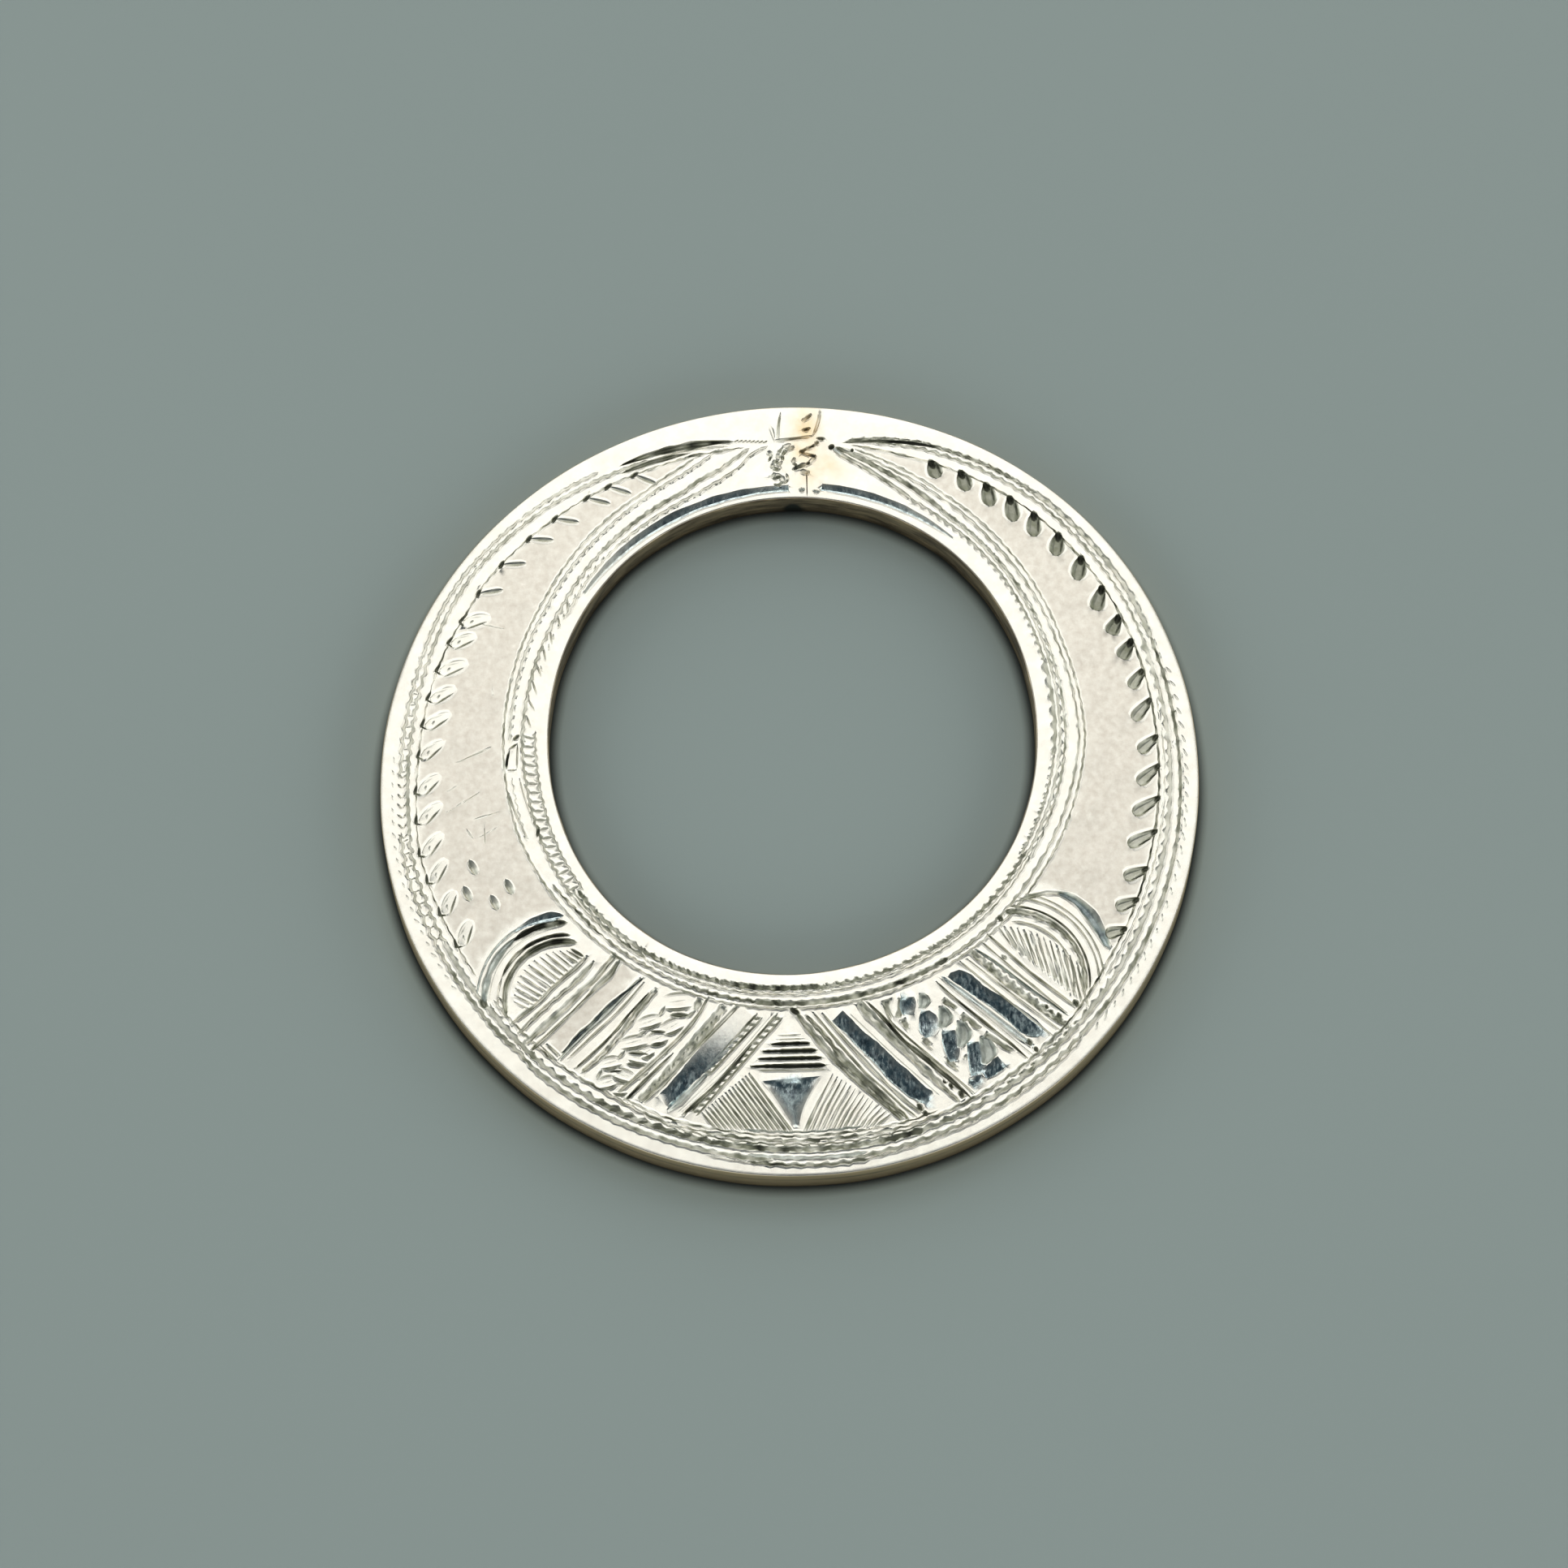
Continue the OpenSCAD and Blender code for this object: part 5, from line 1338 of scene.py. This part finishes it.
# Painted reflection: the colour that bright-cut facets take for the dark they mirror, and its darker spots.
PAINTED_FACET_REFLECTION = (0.72, 0.84, 0.86, 1)
PAINTED_REFLECTION_DARK_SPOTS = (0.3, 0.36, 0.4, 1)
STAIN = (0.86, 0.68, 0.43, 1)
STAINED_TARNISH = (0.4, 0.25, 0.09, 1)

# Soft round patches of stain and soot at the seam: middle, and reach along each axis.
STAIN_BY_RIM = ((0.0007, 0.0172, 0.0024), (0.0012, 0.0034, 0.01))
STAIN_INSIDE = ((0.0014, 0.0156, 0.0024), (0.0024, 0.0018, 0.01))
SEAM_NICK = ((0.0001, 0.0136, 0.0006), (0.0007, 0.0009, 0.0011))

# Heights on the walls: where the darkening low down ends, and the dark line with the start and end of its
# fading, which also sets the painted shade at the foot.
LOW_DARKENING_END = 0.0022
DARK_LINE_Z = 0.00155
LINE_FADE = (0.00005, 0.0004)

# Textures, each a noise with its scale, detail and roughness, cut off below a low and above a high value.
FILM_PATCHES = {"scale": 2600.0, "detail": 6.0, "roughness": 0.75, "low": 0.34, "high": 0.66}
FACE_BLOOM = {"scale": 900.0, "detail": 6.0, "roughness": 0.7, "low": 0.38, "high": 0.7}
PATCH_EDGES = {"scale": 700.0, "detail": 4.0, "roughness": 0.5, "low": 0.3, "high": 0.6}
CUT_GRAIN = {"scale": 1900.0, "detail": 4.0, "roughness": 0.6, "low": 0.3, "high": 0.65}
FACET_WEAR = {"scale": 900.0, "detail": 3.0, "roughness": 0.6, "low": 0.42, "high": 0.62}
REFLECTION_SPOT_NOISE = {"scale": 2600.0, "detail": 3.0, "roughness": 0.6, "low": 0.45, "high": 0.65}
HAZE_PATCHES = {"scale": 700.0, "detail": 3.0, "roughness": 0.6, "low": 0.4, "high": 0.62}
LINE_BREAKS = {"scale": 300.0, "detail": 4.0, "roughness": 0.5, "low": 0.25, "high": 0.55}
FACET_HAZE = {
    "scale": 5200.0, "detail": 4.0, "roughness": 0.6, "low": 0.44, "high": 0.66, "stretch": (1.0, 0.4, 1.0)}
FACET_MARBLE = {
    "scale": 3600.0, "detail": 4.0, "roughness": 0.6, "low": 0.3, "high": 0.7, "stretch": (1.0, 0.45, 1.0)}
WALL_STREAKS = {
    "scale": 450.0, "detail": 5.0, "roughness": 0.65, "low": 0.3, "high": 0.62, "stretch": (1.0, 1.0, 4.0)}

silver, tree, shader = new_material("engraved_silver")
place = node(tree, "ShaderNodeTexCoord").outputs["Object"]


def mark(name):
    """One of the plate's own marks, carried by its points."""
    return node(tree, "ShaderNodeAttribute", attribute_name=name).outputs["Fac"]


def math_node(kind, first, second=0.0, clamp=True):
    """A sum or other calculation, kept between 0 and 1 unless clamp is off."""
    return node(tree, "ShaderNodeMath", {0: first, 1: second}, operation=kind, use_clamp=clamp).outputs[0]


def plus(first, second, clamp=True):
    """First plus second."""
    return math_node("ADD", first, second, clamp)


def minus(first, second, clamp=True):
    """First minus second."""
    return math_node("SUBTRACT", first, second, clamp)


def times(first, second, clamp=True):
    """First times second."""
    return math_node("MULTIPLY", first, second, clamp)


def greater(first, second):
    """The greater of the two."""
    return math_node("MAXIMUM", first, second)


def vector_node(kind, first, second=(0.0, 0.0, 0.0), output="Vector"):
    """A calculation on the three axes at once."""
    return node(tree, "ShaderNodeVectorMath", {0: first, 1: second}, operation=kind).outputs[output]


def ramp(value, low, high):
    """0 where the value is at low, 1 where it is at high, in a straight line between."""
    inputs = {"Value": value, "From Min": low, "From Max": high}
    return node(tree, "ShaderNodeMapRange", inputs).outputs["Result"]


def noise(scale, detail=3.0, roughness=0.5, stretch=None):
    """Noise on Object coordinates, finer along an axis whose stretch is over 1."""
    vector = vector_node("MULTIPLY", place, stretch) if stretch else place
    inputs = {"Vector": vector, "Scale": scale, "Detail": detail, "Roughness": roughness}
    return node(tree, "ShaderNodeTexNoise", inputs).outputs["Fac"]


def clouds(low, high, **texture):
    """Noise whose values from low to high fill 0 to 1."""
    return ramp(noise(**texture), low, high)


def spread(mask, least, most=1.0):
    """A mask of 0 to 1 brought to least to most."""
    return plus(least, times(mask, most - least))


def patch(middle, reach):
    """Mask of a soft round patch: 1 at its middle, 0 at its reach along each axis, roughened by noise."""
    scaled = vector_node("DIVIDE", vector_node("SUBTRACT", place, middle), reach)
    return times(ramp(vector_node("LENGTH", scaled, output="Value"), 1.0, 0.3), clouds(**PATCH_EDGES))


tarnish_mark, lip_mark, facet_painted_reflection_mark, film_mark, wall_mark, inner_wall_mark = (
    mark(name) for name in ("tarnish", "lip", "bright_cut_painted_reflection", "film", "wall", "inner_wall"))

# Film in fine patches on the plain fields, wiped off the lips, and a fainter bloom all over.
clear_of_lips = minus(1.0, ramp(lip_mark, 0.0, 0.5))
film = times(times(film_mark, clear_of_lips), spread(clouds(**FILM_PATCHES), 0.45))
colour = mix(tree, greater(film, times(clouds(**FACE_BLOOM), 0.45)), POLISHED, FIELD_FILM)

# The solder's brown stain beside the seam, and tarnish in the cuts, nearly black in the deepest.
stain_by_rim, stain_inside = patch(*STAIN_BY_RIM), patch(*STAIN_INSIDE)
seam_stain = greater(stain_by_rim, times(stain_inside, 0.7))
colour = mix(tree, times(seam_stain, 0.9), colour, STAIN)
in_cut = times(tarnish_mark, spread(clouds(**CUT_GRAIN), 0.4, 0.95))
colour = mix(tree, in_cut, colour, mix(tree, seam_stain, CUT_TARNISH, STAINED_TARNISH))
colour = mix(tree, ramp(tarnish_mark, 0.9, 1.9), colour, DARK_TARNISH)

# Bright-cut facets: a painted blue-grey reflection with painted darker spots, and hazed where handling has
# dulled them.
colour = mix(tree, facet_painted_reflection_mark, colour, mix(tree, clouds(**REFLECTION_SPOT_NOISE), PAINTED_FACET_REFLECTION, PAINTED_REFLECTION_DARK_SPOTS))
facet_haze = times(clouds(**FACET_HAZE), spread(clouds(**HAZE_PATCHES), 0.35))
haze = times(facet_painted_reflection_mark, times(facet_haze, 0.8))
tree.links.new(minus(1.0, haze), shader.inputs["Metallic"])

# Walls: darker in streaks, most on the opening's wall and low down, a painted shade line along the foot
# where the wall meets the floor, a broken dark line higher up, and the dark nick under the seam.
height_on_wall = node(tree, "ShaderNodeSeparateXYZ", {"Vector": place}).outputs["Z"]
low_on_wall = minus(1.0, ramp(height_on_wall, 0.0, LOW_DARKENING_END))
wall_dark_and_shade = times(plus(times(low_on_wall, 0.36), inner_wall_mark), clouds(**WALL_STREAKS))
# Painted shade: the foot of each wall, where it meets the floor, takes the dark colour.
foot_painted_shade = minus(1.0, ramp(height_on_wall, *LINE_FADE))
off_line = math_node("ABSOLUTE", minus(height_on_wall, DARK_LINE_Z, clamp=False), clamp=False)
broken_dark_line = times(minus(0.55, ramp(off_line, *LINE_FADE)), clouds(**LINE_BREAKS))
wall_dark_and_shade = greater(wall_dark_and_shade, greater(foot_painted_shade, broken_dark_line))
nick = times(patch(*SEAM_NICK), 2.0)
colour = mix(tree, wall_mark, colour, mix(tree, wall_dark_and_shade, WALL_TARNISH, WALL_DARK_AND_FOOT_SHADE))
colour = mix(tree, times(nick, wall_mark), colour, DARK_TARNISH)
tree.links.new(colour, shader.inputs["Base Color"])

# Gloss: smooth on bright-cut facets, duller under film and tarnish and on the walls.
rough = minus(plus(0.2, times(film, 0.1)), times(facet_painted_reflection_mark, 0.1))
for dulled, share in ((tarnish_mark, 0.2), (wall_mark, 0.15), (noise(2500.0), 0.08)):
    rough = plus(rough, times(dulled, share))
tree.links.new(rough, shader.inputs["Roughness"])

# Small dents all over, and the graver's chatter in the bright-cut facets.
chatter = times(times(clouds(**FACET_MARBLE), facet_painted_reflection_mark), spread(clouds(**FACET_WEAR), 0.35))
relief = plus(times(noise(700.0, 4.0), 0.25), times(chatter, 0.45, clamp=False), clamp=False)
dents = node(tree, "ShaderNodeBump", {"Height": relief, "Strength": 1.0, "Distance": 0.00003})
tree.links.new(dents.outputs["Normal"], shader.inputs["Normal"])
plate_mesh.materials.append(silver)
